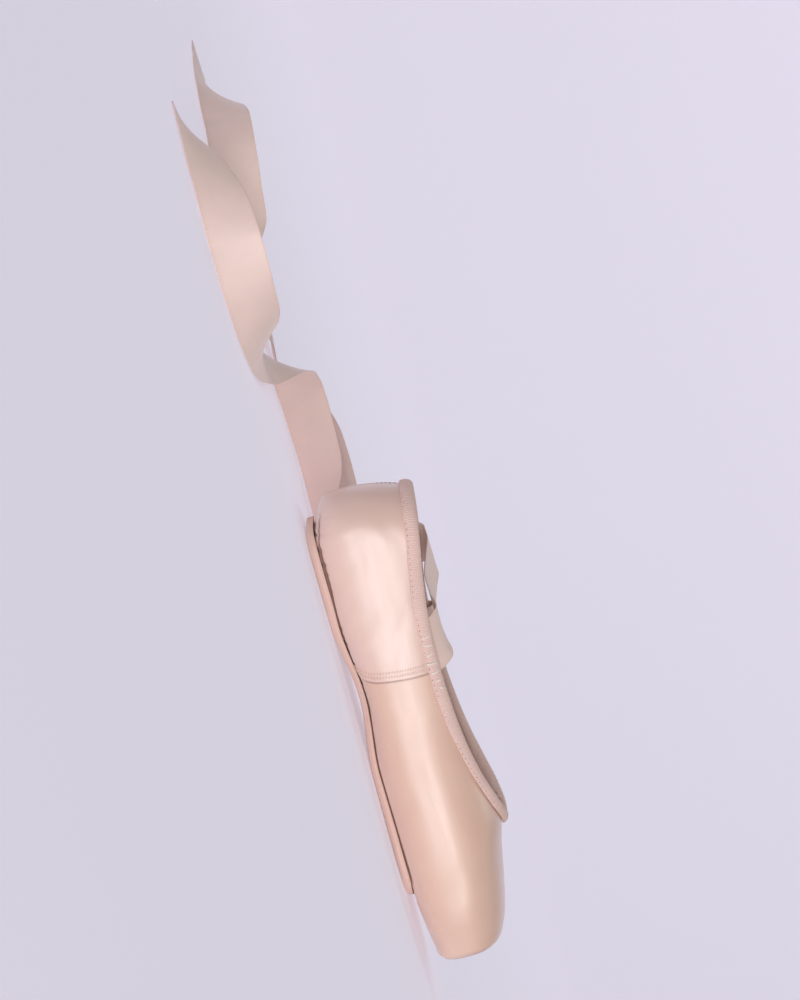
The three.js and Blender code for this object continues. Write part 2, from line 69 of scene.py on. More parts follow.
# ---- The last, in millimetres: +X to the toe, +Y to the left side, +Z up, the origin on the floor ----
LENGTH, THROAT, GAP, RIM = 220.0, 164.0, 0.3, 3.4
SOLE = {"thick": 2.6, "from": 9.0, "to": 190.0, "round": 16.0, "arch": 3.6, "tip_rise": 1.2, "skive": 1.1}
SEAT = {"heel_end": 56.0, "ball_start": 128.0, "ball_end": 176.0}
WALL = {"quarter": 1.4, "box": 2.8, "from": 140.0, "to": 185.0}
HEEL = {"round": 25.0, "power": 2.2, "lift_over": 20.0, "lift": 9.0, "lean": 7.0, "lean_over": 60.0,
        "bulge_at": 20.0}
COLLAR = {"share": 0.93, "reach": 19.0, "power": 0.8}
INSOLE = {"thick": 2.4, "clear": 0.9, "share": 0.64, "from": 15.0, "to": 203.0, "round": 17.0}
BINDING = {"leg": 6.0, "thick": 0.9, "crest": 1.3, "bead": 1.5, "throat_gain": 0.7}
RIBBON_WIDE, RIBBON_REST = 22.0, 0.05
LOWER_POWER, UPPER_POWER = 3.2, 2.55

# Sections of the last: distance from the heel, half width, height of the widest line, height of the crown.
LAST = np.array([
    (0, 25.6, 23.0, 79.0), (20, 27.4, 22.6, 74.0), (40, 28.4, 22.2, 67.5), (60, 29.2, 22.0, 61.2),
    (80, 30.6, 21.9, 57.2), (100, 33.0, 22.0, 54.6), (120, 36.2, 22.2, 52.9), (140, 39.0, 22.4, 52.0),
    (154, 40.2, 22.5, 51.8), (164, 40.3, 22.5, 51.3), (176, 39.2, 22.3, 48.2), (190, 36.4, 21.8, 45.4),
    (200, 33.2, 21.3, 43.3), (208, 30.0, 20.9, 41.2), (214, 27.6, 20.6, 38.8), (220, 25.2, 20.4, 35.6),
], float)
# Half the width of the outsole: distance from the heel, half width.
SOLE_WIDTHS = np.array([
    (9, 17.5), (30, 19.5), (60, 17.6), (88, 16.2), (115, 19.4), (145, 24.6), (165, 26.2), (190, 24.0),
], float)

# How far in from the sole's edge its stitched channel runs.
CHANNEL_IN = 4.2

# How far down the tape's legs come, and the points round its section.
TAPE_LEG, TAPE_STEPS = BINDING["leg"] - 0.9, 46
# Bars of thread over the tape: distance from the heel, lean, and how far down the leg they reach.
TACKS = [(70.5, 0.5, 0.82), (74.4, -0.3, 0.95), (78.6, 0.7, 0.9), (82.6, -0.2, 1.0), (86.8, 0.4, 0.92),
         (90.6, 0.1, 0.8), (94.2, -0.5, 0.55)]

RIBBON_ROWS = 520
# The middle line of each ribbon: place, heading in plan and bank, in degrees.
LEFT_RIBBON = np.array([
    (-25, 28, 16, 95, 0), (-26.6, 28.1, 23, 95, 0), (-28.2, 27.2, 30, 95, 0), (-29.8, 25.2, 36.6, 95, 0),
    (-31.2, 23.3, 42, 95, 0), (-32, 24.9, 45.2, 95, 0), (-32.8, 28.2, 45.8, 95, 0),
    (-33.6, 31, 42, 95, 0), (-35, 32, 32, 96, 0), (-36.6, 33.2, 20, 97, 0), (-38.2, 36.4, 9, 99, 0),
    (-39.8, 42.4, 2.4, 102, 0), (-41.5, 51, 0.6, 104, 0), (-46.5, 70.5, 0.6, 106, 0),
    (-54, 90, 6.2, 117, 31), (-65, 106.5, 10.2, 134, 63), (-81.5, 118, 10.8, 157, 72),
    (-102, 122, 11.2, 181, 83), (-121.5, 118.5, 11, 197, 76), (-140, 111, 9, 206, 50),
    (-158.5, 101.5, 1, 209, 2), (-176, 92, 3.4, 209, 0), (-194, 82, 2.2, 208, 0),
    (-211.5, 73.5, 3.2, 202, -13), (-232, 67, 8.8, 189, -48), (-251.5, 68, 10, 166, -60),
    (-269.5, 76.5, 11, 143, -77), (-283, 92.5, 11.2, 120, -83), (-292, 110.5, 9.2, 110, -53),
    (-298, 129.5, 4.2, 107, -19), (-304.5, 149.5, 0.6, 109, 0), (-311.5, 168, 0.8, 112, 0),
], float)
RIGHT_RIBBON = np.array([
    (-22, -27.6, 18.5, 84, 0), (-26, -27.9, 26, 84, 0), (-29.6, -25.4, 33.4, 85, 0),
    (-32.8, -22.2, 40, 83, 0), (-36, -19.2, 45.4, 86, 0), (-40, -14, 48.2, 98, 0), (-46, -5, 47, 112, 0),
    (-53, 6, 46.8, 119, 0), (-60, 16.6, 49.6, 120, 0), (-66, 25.6, 51.8, 118, 0),
    (-70.2, 31.4, 49.4, 113, 0), (-72.6, 32.4, 42, 108, 0), (-74.6, 32.3, 32, 106, 0),
    (-77, 33, 18, 107, 0), (-79.4, 36.8, 6.4, 111, 0), (-81.5, 44, 0.6, 114, 0), (-93.5, 61, 7, 136, 37),
    (-111, 72, 10.6, 162, 67), (-132, 73, 11, 194, 78), (-150, 63, 11.2, 225, 86),
    (-162, 46, 10.8, 243, 72), (-169, 26, 9.2, 255, 53), (-173.5, 5.5, 3.2, 260, 14),
    (-177.5, -15, 3.6, 260, 0), (-181.5, -35, 5.4, 257, -22), (-187.5, -55, 8.6, 247, -46),
    (-198, -73, 10.4, 229, -63), (-215, -84.5, 11, 199, -75), (-235.5, -86, 11.2, 170, -86),
    (-255.5, -79.5, 10.2, 156, -62), (-274, -69.5, 6.6, 149, -34), (-292, -58.5, 0.6, 148, 0),
], float)

# Soft troughs (minus) and ridges (plus) in the satin: side, start and end as distance from the heel and
# height above the sole's edge, half width and depth. Side 0 stands for both.
CREASES = [
    (-1, 66, 3, 57, 20, 3.4, -0.34), (-1, 71, 4, 64, 24, 2.6, 0.24), (-1, 58, 2, 46, 12, 3.0, -0.26),
    (-1, 40, 2, 33, 14, 3.2, -0.24), (-1, 22, 4, 19, 22, 2.8, -0.2), (-1, 74, 26, 58, 36, 3.4, -0.24),
    (-1, 95, 2, 104, 14, 3.6, -0.24), (-1, 112, 1, 120, 10, 3.0, -0.16), (-1, 90, 3, 97, 20, 2.6, 0.14),
    (1, 68, 3, 60, 22, 3.2, -0.3), (1, 54, 2, 44, 13, 3.0, -0.28), (1, 36, 2, 31, 16, 3.0, -0.22),
    (1, 92, 3, 100, 17, 3.4, -0.26), (1, 108, 2, 117, 12, 3.0, -0.16), (1, 73, 24, 60, 35, 3.2, -0.22),
    (0, 10, 30, 24, 40, 3.6, -0.2), (0, 148, 3, 156, 12, 4.0, -0.12), (0, 172, 2, 184, 10, 4.0, -0.1),
]

# ---- The stage, in metres ----
# The camera's upward direction lies towards the heel, so that the toe points down.
CAMERA_UP = (-0.964, 0, 0.266)
PAPER = {"half": 3.0, "bend_from": 2.0, "radius": 0.7, "steps": 16, "wall": 2.2, "below": 0.00006}
# Area lights: name, place, aim, size, the setting that holds its power, and colour.
LIGHTS = [
    ("low_front", (-0.15, -2.1, 0.13), (-0.02, 0, 0.01), (3.0, 0.2), "key_power", (1.0, 0.99, 0.975)),
    ("low_toe", (2.0, -1.75, 0.13), (0.09, 0, 0.02), (1.5, 0.2), "toe_power", (1.0, 0.985, 0.97)),
    ("top_soft", (-0.3, 1.1, 2.7), (-0.08, 0.2, 0.0), (2.2, 1.4), "top_power", (1.0, 0.98, 0.96)),
    ("wall_wash", (0.0, 0.6, 1.9), (0.0, 2.7, 0.35), (3.0, 0.6), "wall_power", (0.97, 0.97, 1.0)),
]


# ---- The shape of the last ----
def smooth(low, high, at):
    t = np.clip((np.asarray(at, float) - low) / (high - low), 0, 1)
    return t * t * (3 - 2 * t)


def along(rows, column, at):
    """The value between the rows of a table, on a smooth curve through them all."""
    x, y, at = rows[:, 0], rows[:, column], np.asarray(at, float)
    before, after = np.r_[0, np.arange(len(x) - 1)], np.r_[np.arange(1, len(x)), len(x) - 1]
    slope = (y[after] - y[before]) / (x[after] - x[before])
    k = np.clip(np.searchsorted(x, at, side="left") - 1, 0, len(x) - 2)
    step = x[k + 1] - x[k]
    t = np.clip((at - x[k]) / step, 0, 1)
    return (y[k] * (2 * t**3 - 3 * t**2 + 1) + y[k + 1] * (3 * t**2 - 2 * t**3)
            + slope[k] * step * (t**3 - 2 * t**2 + t) + slope[k + 1] * step * (t**3 - t**2))


def inset(radius, distance):
    """How far an arc of this radius has still to go, at a distance from its end."""
    left = np.clip(radius - np.asarray(distance, float), 0, radius)
    return radius - np.sqrt(radius**2 - left**2)


def band(at, start, full, end, gone):
    """1 in the middle, fading in from start to full and out from end to gone."""
    return smooth(start, full, at) * (1 - smooth(end, gone, at))


def ground(at):
    """Height of the sole's underside: flat at heel and ball, arched between, and up a little at the tip."""
    middle, span = (SEAT["heel_end"] + SEAT["ball_start"]) / 2, (SEAT["ball_start"] - SEAT["heel_end"]) / 2
    share = np.maximum(0, 1 - np.abs(at - middle) / span)
    tip = SOLE["tip_rise"] * smooth(SEAT["ball_end"], LENGTH, at)
    return SOLE["arch"] * (3 * share**2 - 2 * share**3) + tip


def wall_at(at):
    """Thickness of the upper, which grows into the box."""
    return WALL["quarter"] + (WALL["box"] - WALL["quarter"]) * smooth(WALL["from"], WALL["to"], at)


def heel_lift(at):
    return HEEL["lift"] * (1 - np.minimum(1, at / HEEL["lift_over"])) ** 2


def heel_place(y):
    """How far from the heel the back of the last is y wide to each side."""
    return HEEL["round"] * (1 - (1 - (y / HEEL["round"]) ** HEEL["power"]) ** (1 / HEEL["power"]))


def section(at):
    """Half width, height of the widest line, crown and belly of the section at a distance from the heel."""
    rim = inset(RIM, LENGTH - at)
    heel_share = (1 - (1 - np.minimum(1, at / HEEL["round"])) ** HEEL["power"]) ** (1 / HEEL["power"])
    belly = ground(at) + SOLE["thick"] + GAP + heel_lift(at) + 1.6 * smooth(SOLE["to"], LENGTH, at) + rim
    return heel_share * (along(LAST, 1, at) - rim), along(LAST, 2, at), along(LAST, 3, at) - rim, belly


def last_point(place, turn):
    """Points of the last: turn goes from 0 underneath to pi at the crown; minus places are on the right."""
    place, turn = np.broadcast_arrays(np.asarray(place, float), np.asarray(turn, float))
    at = np.minimum(np.abs(place), LENGTH)
    half, widest, crown, belly = section(at)
    s, c = np.abs(np.sin(turn)), np.cos(turn)
    power = np.where(c > 0, LOWER_POWER, UPPER_POWER)
    reach = (s**power + np.abs(c) ** power) ** (-1 / power)
    z = widest - np.where(c > 0, widest - belly, crown - widest) * reach * c
    away = (z - HEEL["bulge_at"]) / (crown - HEEL["bulge_at"])
    lean = HEEL["lean"] * 3.2 * away**2 * (1 - smooth(0, HEEL["lean_over"], at))
    return np.stack([at + lean - LENGTH / 2, np.where(place < 0, -1, 1) * half * reach * s, z], -1)


def topline_turn(place):
    """The turn at which the topline lies, and pi in front of the throat."""
    behind = np.maximum(THROAT - np.abs(np.asarray(place, float)), 0)
    share = COLLAR["share"] * (1 - np.exp(-((behind / COLLAR["reach"]) ** COLLAR["power"])))
    beyond = (1 - share**UPPER_POWER) ** (1 / UPPER_POWER)
    return np.where(behind > 0, np.pi - np.arctan2(share, beyond), np.pi)


def sole_edge_turn(at):
    """The turn at which the satin leaves the edge of the sole."""
    half = section(np.maximum(at, 1e-6))[0]
    share = np.minimum(along(SOLE_WIDTHS, 1, at) / np.maximum(half, 1e-6), 0.72)
    return np.arctan2(share, (1 - share**LOWER_POWER) ** (1 / LOWER_POWER))


def underside(at, y, depth=0.0):
    """Height of the last's underside y beside its middle, or of a surface a depth inside it."""
    half, widest, _, belly = section(at)
    share = np.minimum(np.abs(y) / np.maximum(half - depth, 1), 1)
    return widest - (widest - belly - depth) * (1 - share**LOWER_POWER) ** (1 / LOWER_POWER)


def unit(v):
    return v / np.maximum(np.linalg.norm(v, axis=-1, keepdims=True), 1e-12)


def run_along(line):
    """How far along a line each of its points is."""
    return np.r_[0, np.cumsum(np.linalg.norm(np.diff(line, axis=0), axis=1))]


def paired(a, b):
    """Two arrays spread to one shape, as the pairs of a last axis."""
    return np.stack(np.broadcast_arrays(a, b), -1)


def surface_at(place, turn):
    """Two directions along the last and its outward normal."""
    e = 1e-3
    place, turn = np.broadcast_arrays(np.asarray(place, float), np.asarray(turn, float))
    root = np.sign(place) * np.sqrt(np.abs(place))
    at = lambda r: last_point(np.where(r == 0, 1e-9, np.sign(r) * r * r), turn)
    lengthwise = (at(root + e) - at(root - e)) / (2 * e)
    real = np.where(place == 0, 1e-9, place)
    top = np.minimum(turn + e, np.pi)
    around = (last_point(real, top) - last_point(real, turn - e)) / (top - turn + e)[..., None]
    half = section(np.abs(place))[0]
    crown = np.stack([np.zeros_like(half), np.where(place < 0, half, -half), np.zeros_like(half)], -1)
    around = np.where((turn > np.pi - 1e-6)[..., None], crown, around)
    return last_point(real, turn), root, lengthwise, around, unit(np.cross(around, lengthwise))


def step_along(here, turn, direction, distance):
    """The points and normals reached by going a distance over the last, in a direction along it."""
    point, root, a, b, normal = here
    dot = lambda p, q: (p * q).sum(-1)
    aa, ab, bb = dot(a, a), dot(a, b), dot(b, b)
    ad, bd = dot(a, direction) * distance, dot(b, direction) * distance
    det = aa * bb - ab * ab
    new_root, new_turn = root + (ad * bb - bd * ab) / det, turn + (bd * aa - ad * ab) / det
    crossed = new_turn > np.pi
    place = np.where(crossed, -1, 1) * np.sign(new_root) * new_root**2
    far = surface_at(place, np.where(crossed, 2 * np.pi - new_turn, new_turn))
    back = np.broadcast_to(np.asarray(distance), turn.shape)[..., None] < 0
    return (np.where(back, point + direction * np.asarray(distance)[..., None], far[0]),
            np.where(back, normal, far[4]))


# ---- Making meshes ----
def alone(obj):
    """obj is the only thing selected, and the active one."""
    bpy.ops.object.select_all(action="DESELECT")
    obj.select_set(True)
    bpy.context.view_layer.objects.active = obj


def shaped_grid(name, points, uv, marks, fill_ends=False):
    """A grid primitive laid over rows of points in millimetres, merged where its edges meet."""
    rows, columns = points.shape[:2]
    bpy.ops.object.select_all(action="DESELECT")
    bpy.ops.mesh.primitive_grid_add(x_subdivisions=columns - 1, y_subdivisions=rows - 1, size=1)
    obj = bpy.context.object
    obj.name = obj.data.name = name
    mesh = obj.data
    if len(mesh.vertices) != rows * columns:
        raise RuntimeError(f"{name}: the grid has {len(mesh.vertices)} points and not {rows * columns}")
    mesh.vertices.foreach_set("co", (points.reshape(-1, 3) * MM).astype(np.float32).ravel())
    corner = np.zeros(len(mesh.loops), np.int32)
    mesh.loops.foreach_get("vertex_index", corner)
    mesh.uv_layers.active.name = "cloth"
    on_cloth = (uv.reshape(-1, 2)[corner] * MM).astype(np.float32)
    mesh.uv_layers["cloth"].data.foreach_set("uv", on_cloth.ravel())
    for key, values in marks.items():
        mark = mesh.attributes.new(key, "FLOAT", "POINT")
        mark.data.foreach_set("value", values.astype(np.float32).ravel())
    mesh.update()
    bpy.ops.object.mode_set(mode="EDIT")
    bpy.ops.mesh.select_all(action="SELECT")
    bpy.ops.mesh.remove_doubles(threshold=2e-6)
    if fill_ends:
        bpy.ops.mesh.select_all(action="DESELECT")
        bpy.ops.mesh.select_mode(type="EDGE")
        bpy.ops.mesh.select_non_manifold(extend=False)
        bpy.ops.mesh.edge_face_add()
    bpy.ops.object.mode_set(mode="OBJECT")
    bpy.ops.object.shade_smooth()
    return obj


def crisp(obj, degrees):
    """Smooth shading that leaves the sharper edges crisp."""
    alone(obj)
    bpy.ops.object.shade_smooth_by_angle(angle=math.radians(degrees))


def thicken(obj, thickness):
    """Gives a sheet its thickness, inwards from the side that shows."""
    alone(obj)
    wall = obj.modifiers.new("thickness", "SOLIDIFY")
    wall.thickness, wall.offset, wall.use_even_offset = thickness * MM, -1, False
    bpy.ops.object.modifier_apply(modifier=wall.name)


def grid_normals(points):
    """Outward normals of a grid whose coinciding points share one normal, with the key that joins them."""
    rows, columns = points.shape[:2]
    flat = points.reshape(-1, 3)
    _, number = np.unique(np.round(flat / 0.002).astype(np.int64), axis=0, return_inverse=True)
    number = number.reshape(-1)
    a = (np.arange(rows - 1)[:, None] * columns + np.arange(columns - 1)).ravel()
    total = np.zeros((number.max() + 1, 3))
    for i, j, k in ((0, 1, columns + 1), (0, columns + 1, columns)):
        face = np.cross(flat[a + j] - flat[a + i], flat[a + k] - flat[a + i])
        for corner in (i, j, k):
            np.add.at(total, number[a + corner], face)
    return unit(total[number]).reshape(points.shape), number


def shared(values, number):
    """The mean of the values at points that coincide."""
    sums = np.bincount(number, values.ravel())
    return (sums / np.bincount(number))[number].reshape(values.shape)


def soft_noise(points, size, seed):
    """Smooth noise from -1 to 1 at each point, for a feature size in millimetres."""
    shift = Vector((seed * 17.3, seed * 5.1, seed * 9.7))
    values = [noise.noise(Vector(p) / size + shift) for p in points.reshape(-1, 3)]
    return np.array(values).reshape(points.shape[:-1])


def finish_piece(obj, material, replaces=()):
    """Gives a piece its finish and the body that it rides on."""
    obj.data.materials.clear()
    obj.data.materials.append(material)
    if replaces:
        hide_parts(*replaces)
    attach(obj, BODY)


def copies(name, pattern, places):
    """One mesh made of a copy of the pattern at each place, the pattern being removed."""
    base = np.array([v.co for v in pattern.data.vertices])
    faces = [tuple(p.vertices) for p in pattern.data.polygons]
    points, all_faces = [], []
    for matrix in places:
        m = np.array(matrix)
        start = len(points) * len(base)
        points.append(base @ m[:3, :3].T + m[:3, 3])
        all_faces += [tuple(start + i for i in face) for face in faces]
    mesh = bpy.data.meshes.new(name)
    mesh.from_pydata(np.concatenate(points).tolist(), [], all_faces)
    obj = bpy.data.objects.new(name, mesh)
    bpy.context.scene.collection.objects.link(obj)
    bpy.data.objects.remove(pattern)
    alone(obj)
    bpy.ops.object.shade_smooth()
    return obj


def thread_stitch(sides=7, rings=5):
    """A stitch of thread, one long along X and one thick, whose ends dive into the cloth below it."""
    bpy.ops.object.select_all(action="DESELECT")
    bpy.ops.mesh.primitive_cylinder_add(vertices=sides, radius=0.5, depth=1, end_fill_type="TRIFAN",
                                        rotation=(0, math.pi / 2, 0))
    obj = bpy.context.object
    bpy.ops.object.transform_apply(location=False, rotation=True, scale=False)
    bpy.ops.object.mode_set(mode="EDIT")
    for i in range(1, rings):
        x = -0.5 + i / rings
        bpy.ops.mesh.select_all(action="SELECT")
        bpy.ops.mesh.bisect(plane_co=(x, 0, 0), plane_no=(1, 0, 0))
    bpy.ops.object.mode_set(mode="OBJECT")
    for v in obj.data.vertices:
        t = min(1.0, abs(v.co.x) * 2)
        slim = math.sqrt(max(1 - 0.82 * t**3, 0.05))
        v.co.y *= slim
        v.co.z = v.co.z * slim + 0.30 - 0.75 * t**2.2
    return obj


def stitch_place(start, end, normal, thickness):
    """Where a stitch goes that runs from start to end in millimetres, standing up along the normal."""
    start, end = Vector(start) * MM, Vector(end) * MM
    x = end - start
    length = x.length
    x.normalize()
    z = (Vector(normal) - x * x.dot(Vector(normal))).normalized()
    y = z.cross(x)
    turn = Matrix((x, y, z)).transposed().to_4x4()
    size = Matrix.Diagonal((length, thickness * MM, thickness * MM, 1))
    return Matrix.Translation((start + end) / 2) @ turn @ size


# ---- Finishes ----
class Net:
    """Adds nodes to a tree and joins them, with the number or colour of each free input."""

    def __init__(self, tree):
        self.tree = tree

    def add(self, kind, inputs=None, **settings):
        node = self.tree.nodes.new("ShaderNode" + kind)
        for key, value in settings.items():
            setattr(node, key, value)
        for key, value in (inputs or {}).items():
            self.join(value, node.inputs[key])
        return node

    def join(self, value, socket):
        if isinstance(value, bpy.types.Node):
            value = value.outputs[0]
        if isinstance(value, bpy.types.NodeSocket):
            self.tree.links.new(value, socket)
        else:
            socket.default_value = value

    def math(self, operation, a, b=0.5, clamp=False):
        return self.add("Math", {0: a, 1: b}, operation=operation, use_clamp=clamp)

    def plus(self, base, mask, gain):
        """The base with a gain times the mask added to it."""
        return self.math("ADD", base, self.math("MULTIPLY", mask, gain))

    def mix(self, share, a, b):
        node = self.add("Mix", data_type="RGBA")
        for socket, value in ((0, share), (6, a), (7, b)):
            self.join(value, node.inputs[socket])
        return node.outputs[2]

    def tint(self, tone, mask, share, colour):
        """The tone with a share of another colour over it where the mask is."""
        return self.mix(self.math("MULTIPLY", mask, share), tone, colour)

    def ramp(self, value, low, high):
        return self.add("MapRange", {"Value": value, "From Min": low, "From Max": high}).outputs[0]


def group(name, outputs, **numbers):
    """A new shader node group that takes a vector and numbers, with the nodes at its two ends."""
    tree = bpy.data.node_groups.new(name, "ShaderNodeTree")
    tree.interface.new_socket(name="Vector", in_out="INPUT", socket_type="NodeSocketVector")
    for key, value in numbers.items():
        socket = tree.interface.new_socket(name=key, in_out="INPUT", socket_type="NodeSocketFloat")
        socket.default_value = value
    for key in outputs:
        tree.interface.new_socket(name=key, in_out="OUTPUT", socket_type="NodeSocketFloat")
    given, out = tree.nodes.new("NodeGroupInput"), tree.nodes.new("NodeGroupOutput")
    return tree, Net(tree), given.outputs, out.inputs


def satin_floats():
    """Long fine threads side by side: their height, and a shade that varies from thread to thread."""
    tree, net, given, out = group("Satin Floats", ("Height", "Shade"), Threads=3200.0, Length=90.0)
    scale = net.add("CombineXYZ", {"X": given["Length"], "Y": given["Threads"]})
    threads = net.add("VectorMath", {0: given["Vector"], 1: scale}, operation="MULTIPLY")
    fine = net.add("TexNoise", {"Vector": threads, "Scale": 1.0, "Detail": 2.0}).outputs["Fac"]
    broad = net.add("VectorMath", {0: threads, 1: (0.35, 0.06, 1.0)}, operation="MULTIPLY")
    bands = net.add("TexNoise", {"Vector": broad, "Scale": 1.0, "Detail": 3.0}).outputs["Fac"]
    net.join(fine, out["Height"])
    net.join(net.plus(net.math("MULTIPLY", fine, 0.35), bands, 0.65), out["Shade"])
    return tree


def plain_weave():
    """Threads over and under each other: their height and the gaps between them."""
    tree, net, given, out = group("Plain Weave", ("Height", "Gaps"), Warp=1400.0, Weft=1400.0)
    parts = net.add("SeparateXYZ", {0: given["Vector"]}).outputs
    waves = []
    for part, threads in ((parts[0], given["Weft"]), (parts[1], given["Warp"])):
        turns = net.math("MULTIPLY", part, threads)
        waves.append(net.math("SINE", net.math("MULTIPLY", turns, math.pi)))
    over = net.math("MULTIPLY", *waves)
    net.join(net.math("ADD", net.math("MULTIPLY", over, 0.5), 0.5), out["Height"])
    crowded = net.math("MAXIMUM", *(net.math("ABSOLUTE", wave, 0) for wave in waves))
    net.join(net.math("SUBTRACT", 1.0, crowded, clamp=True), out["Gaps"])
    return tree


def soft_wear():
    """Uneven handling marks: a mask that grows with the number given as Where, and the blotches in it."""
    tree, net, given, out = group("Soft Wear", ("Mask", "Blotch"), Scale=60.0, Where=0.0, Spread=0.25)
    cloud = net.add("TexNoise", {"Vector": given["Vector"], "Scale": given["Scale"], "Detail": 5.0,
                                 "Roughness": 0.6}).outputs["Fac"]
    spread = net.math("MULTIPLY", given["Spread"], 2.0)
    reach = net.plus(given["Where"], net.math("SUBTRACT", cloud, 0.5), spread)
    net.join(net.ramp(reach, 0.35, 0.8), out["Mask"])
    net.join(cloud, out["Blotch"])
    return tree


GROUPS = {}


class Finish(Net):
    """A material whose uniform values are set on its shader's sockets."""

    def __init__(self, name, **uniform):
        self.material = bpy.data.materials.new(name)
        self.material.use_nodes = True
        super().__init__(self.material.node_tree)
        self.shader = self.tree.nodes["Principled BSDF"].inputs
        self.shader["Sheen Tint"].default_value = (1.0, 0.84, 0.78, 1.0)
        for key, value in uniform.items():
            self.shader[key.replace("_", " ")].default_value = value

    def mark(self, name):
        return self.add("Attribute", attribute_name=name).outputs["Fac"]

    def cloth(self):
        """The piece's own cloth map, in metres along and around it."""
        return self.add("UVMap", uv_map="cloth").outputs["UV"]

    def place(self, scale=(1, 1, 1)):
        """Places in the shoe's frame times a scale on each axis."""
        coordinates = self.add("TexCoord").outputs["Object"]
        return self.add("Mapping", {"Vector": coordinates, "Scale": scale}).outputs[0]

    def shared(self, maker, **inputs):
        """The outputs of a shared group, placed with values of its own."""
        if maker.__name__ not in GROUPS:
            GROUPS[maker.__name__] = maker()
        node = self.tree.nodes.new("ShaderNodeGroup")
        node.node_tree = GROUPS[maker.__name__]
        for key, value in inputs.items():
            self.join(value, node.inputs[key])
        return node.outputs

    def along_threads(self):
        """The highlight is drawn out along the cloth map."""
        self.join(self.add("Tangent", direction_type="UV_MAP", uv_map="cloth"), self.shader["Tangent"])

    def surface(self, tone, rough, height=None, depth=0.0, strength=0.0):
        """The material, with its colour, its roughness and the height of its bump."""
        self.join(tone, self.shader["Base Color"])
        self.join(rough, self.shader["Roughness"])
        if height is not None:
            self.join(self.add("Bump", {"Height": height, "Distance": depth, "Strength": strength}),
                      self.shader["Normal"])
        return self.material


def rgb(colour, by=1.0):
    return tuple(min(1.0, c * by) for c in colour[:3]) + (1.0,)


def satin_finish(colours):
    net = Finish("peach_satin", Anisotropic=0.5, Anisotropic_Rotation=0.25, Sheen_Weight=0.12,
                 Sheen_Roughness=0.45, Specular_IOR_Level=1.0, Coat_Weight=1.0, Coat_Roughness=0.36)
    floats = net.shared(satin_floats, Vector=net.cloth(), Threads=3000.0, Length=70.0)
    wear = net.shared(soft_wear, Vector=net.place(), Scale=34.0, Where=net.mark("rim"), Spread=0.3)
    streak = net.ramp(floats["Shade"], 0.35, 0.65)
    tone = net.mix(net.ramp(wear["Blotch"], 0.35, 0.7), rgb(colours.satin), rgb(colours.satin_shade))
    tone = net.mix(net.mark("quarter"), tone, rgb(colours.quarter))
    tone = net.tint(tone, streak, 0.10, rgb(colours.satin, 1.15))
    tone = net.tint(tone, net.mark("seam"), 0.75, rgb(colours.seam_shadow))
    # Near the platform's rim: handling dirt in blotches, and a line of painted shadow along its edge.
    tone = net.tint(tone, wear["Mask"], 0.4, rgb(colours.rim_shadow_and_dirt))
    tone = net.tint(tone, net.ramp(net.mark("rim"), 0.45, 0.72), 0.65, rgb(colours.rim_shadow_and_dirt))
    # Painted shadow: the groove along the sole's edge is coloured near-black.
    tone = net.mix(net.mark("groove"), tone, rgb(colours.groove_shadow))
    net.along_threads()
    return net.surface(tone, net.plus(net.plus(0.28, streak, 0.14), wear["Mask"], 0.16),
                       floats["Height"], 0.00006, 0.5)


def ribbon_finish(colours):
    net = Finish("ribbon_satin", Anisotropic=0.45, Anisotropic_Rotation=0.25, Sheen_Weight=0.3,
                 Sheen_Roughness=0.5, Specular_IOR_Level=0.5)
    cloth = net.cloth()
    floats = net.shared(satin_floats, Vector=cloth, Threads=2600.0, Length=50.0)
    wear = net.shared(soft_wear, Vector=cloth, Scale=40.0, Where=0.2, Spread=0.3)
    tone = net.mix(net.ramp(wear["Blotch"], 0.35, 0.7), rgb(colours.ribbon), rgb(colours.ribbon, 0.93))
    tone = net.tint(tone, net.mark("selvedge"), 0.5, rgb(colours.ribbon_edge))
    tone = net.tint(tone, net.mark("cut"), 0.7, rgb(colours.seam_shadow))
    net.along_threads()
    weft = net.add("TexWave", {"Vector": cloth, "Scale": 420.0, "Distortion": 0.4}, bands_direction="X")
    return net.surface(tone, net.plus(0.4, floats["Shade"], 0.1),
                       net.plus(floats["Height"], weft.outputs["Fac"], 0.5), 0.00006, 0.5)


def binding_finish(colours):
    net = Finish("ribbed_binding", Sheen_Weight=0.2, Sheen_Roughness=0.55, Specular_IOR_Level=0.3)
    cloth = net.cloth()
    weave = net.shared(plain_weave, Vector=cloth, Warp=2200.0, Weft=1500.0)
    ribs = net.add("TexWave", {"Vector": cloth, "Scale": 290.0, "Distortion": 0.6, "Detail Scale": 2.0},
                   bands_direction="X").outputs["Fac"]
    wear = net.shared(soft_wear, Vector=net.place(), Scale=70.0, Where=net.mark("fold"), Spread=0.35)
    tone = net.mix(net.ramp(wear["Blotch"], 0.3, 0.75), rgb(colours.binding), rgb(colours.binding, 0.9))
    tone = net.tint(tone, weave["Gaps"], 0.5, rgb(colours.binding, 0.6))
    tone = net.mix(net.ramp(ribs, 0.40, -0.45), tone, rgb(colours.binding, 0.74))
    tone = net.tint(tone, wear["Mask"], 0.35, rgb(colours.seam_shadow))
    height = net.plus(ribs, weave["Height"], 0.5)
    return net.surface(tone, net.plus(0.68, weave["Gaps"], 0.2), height, 0.00018, 0.7)


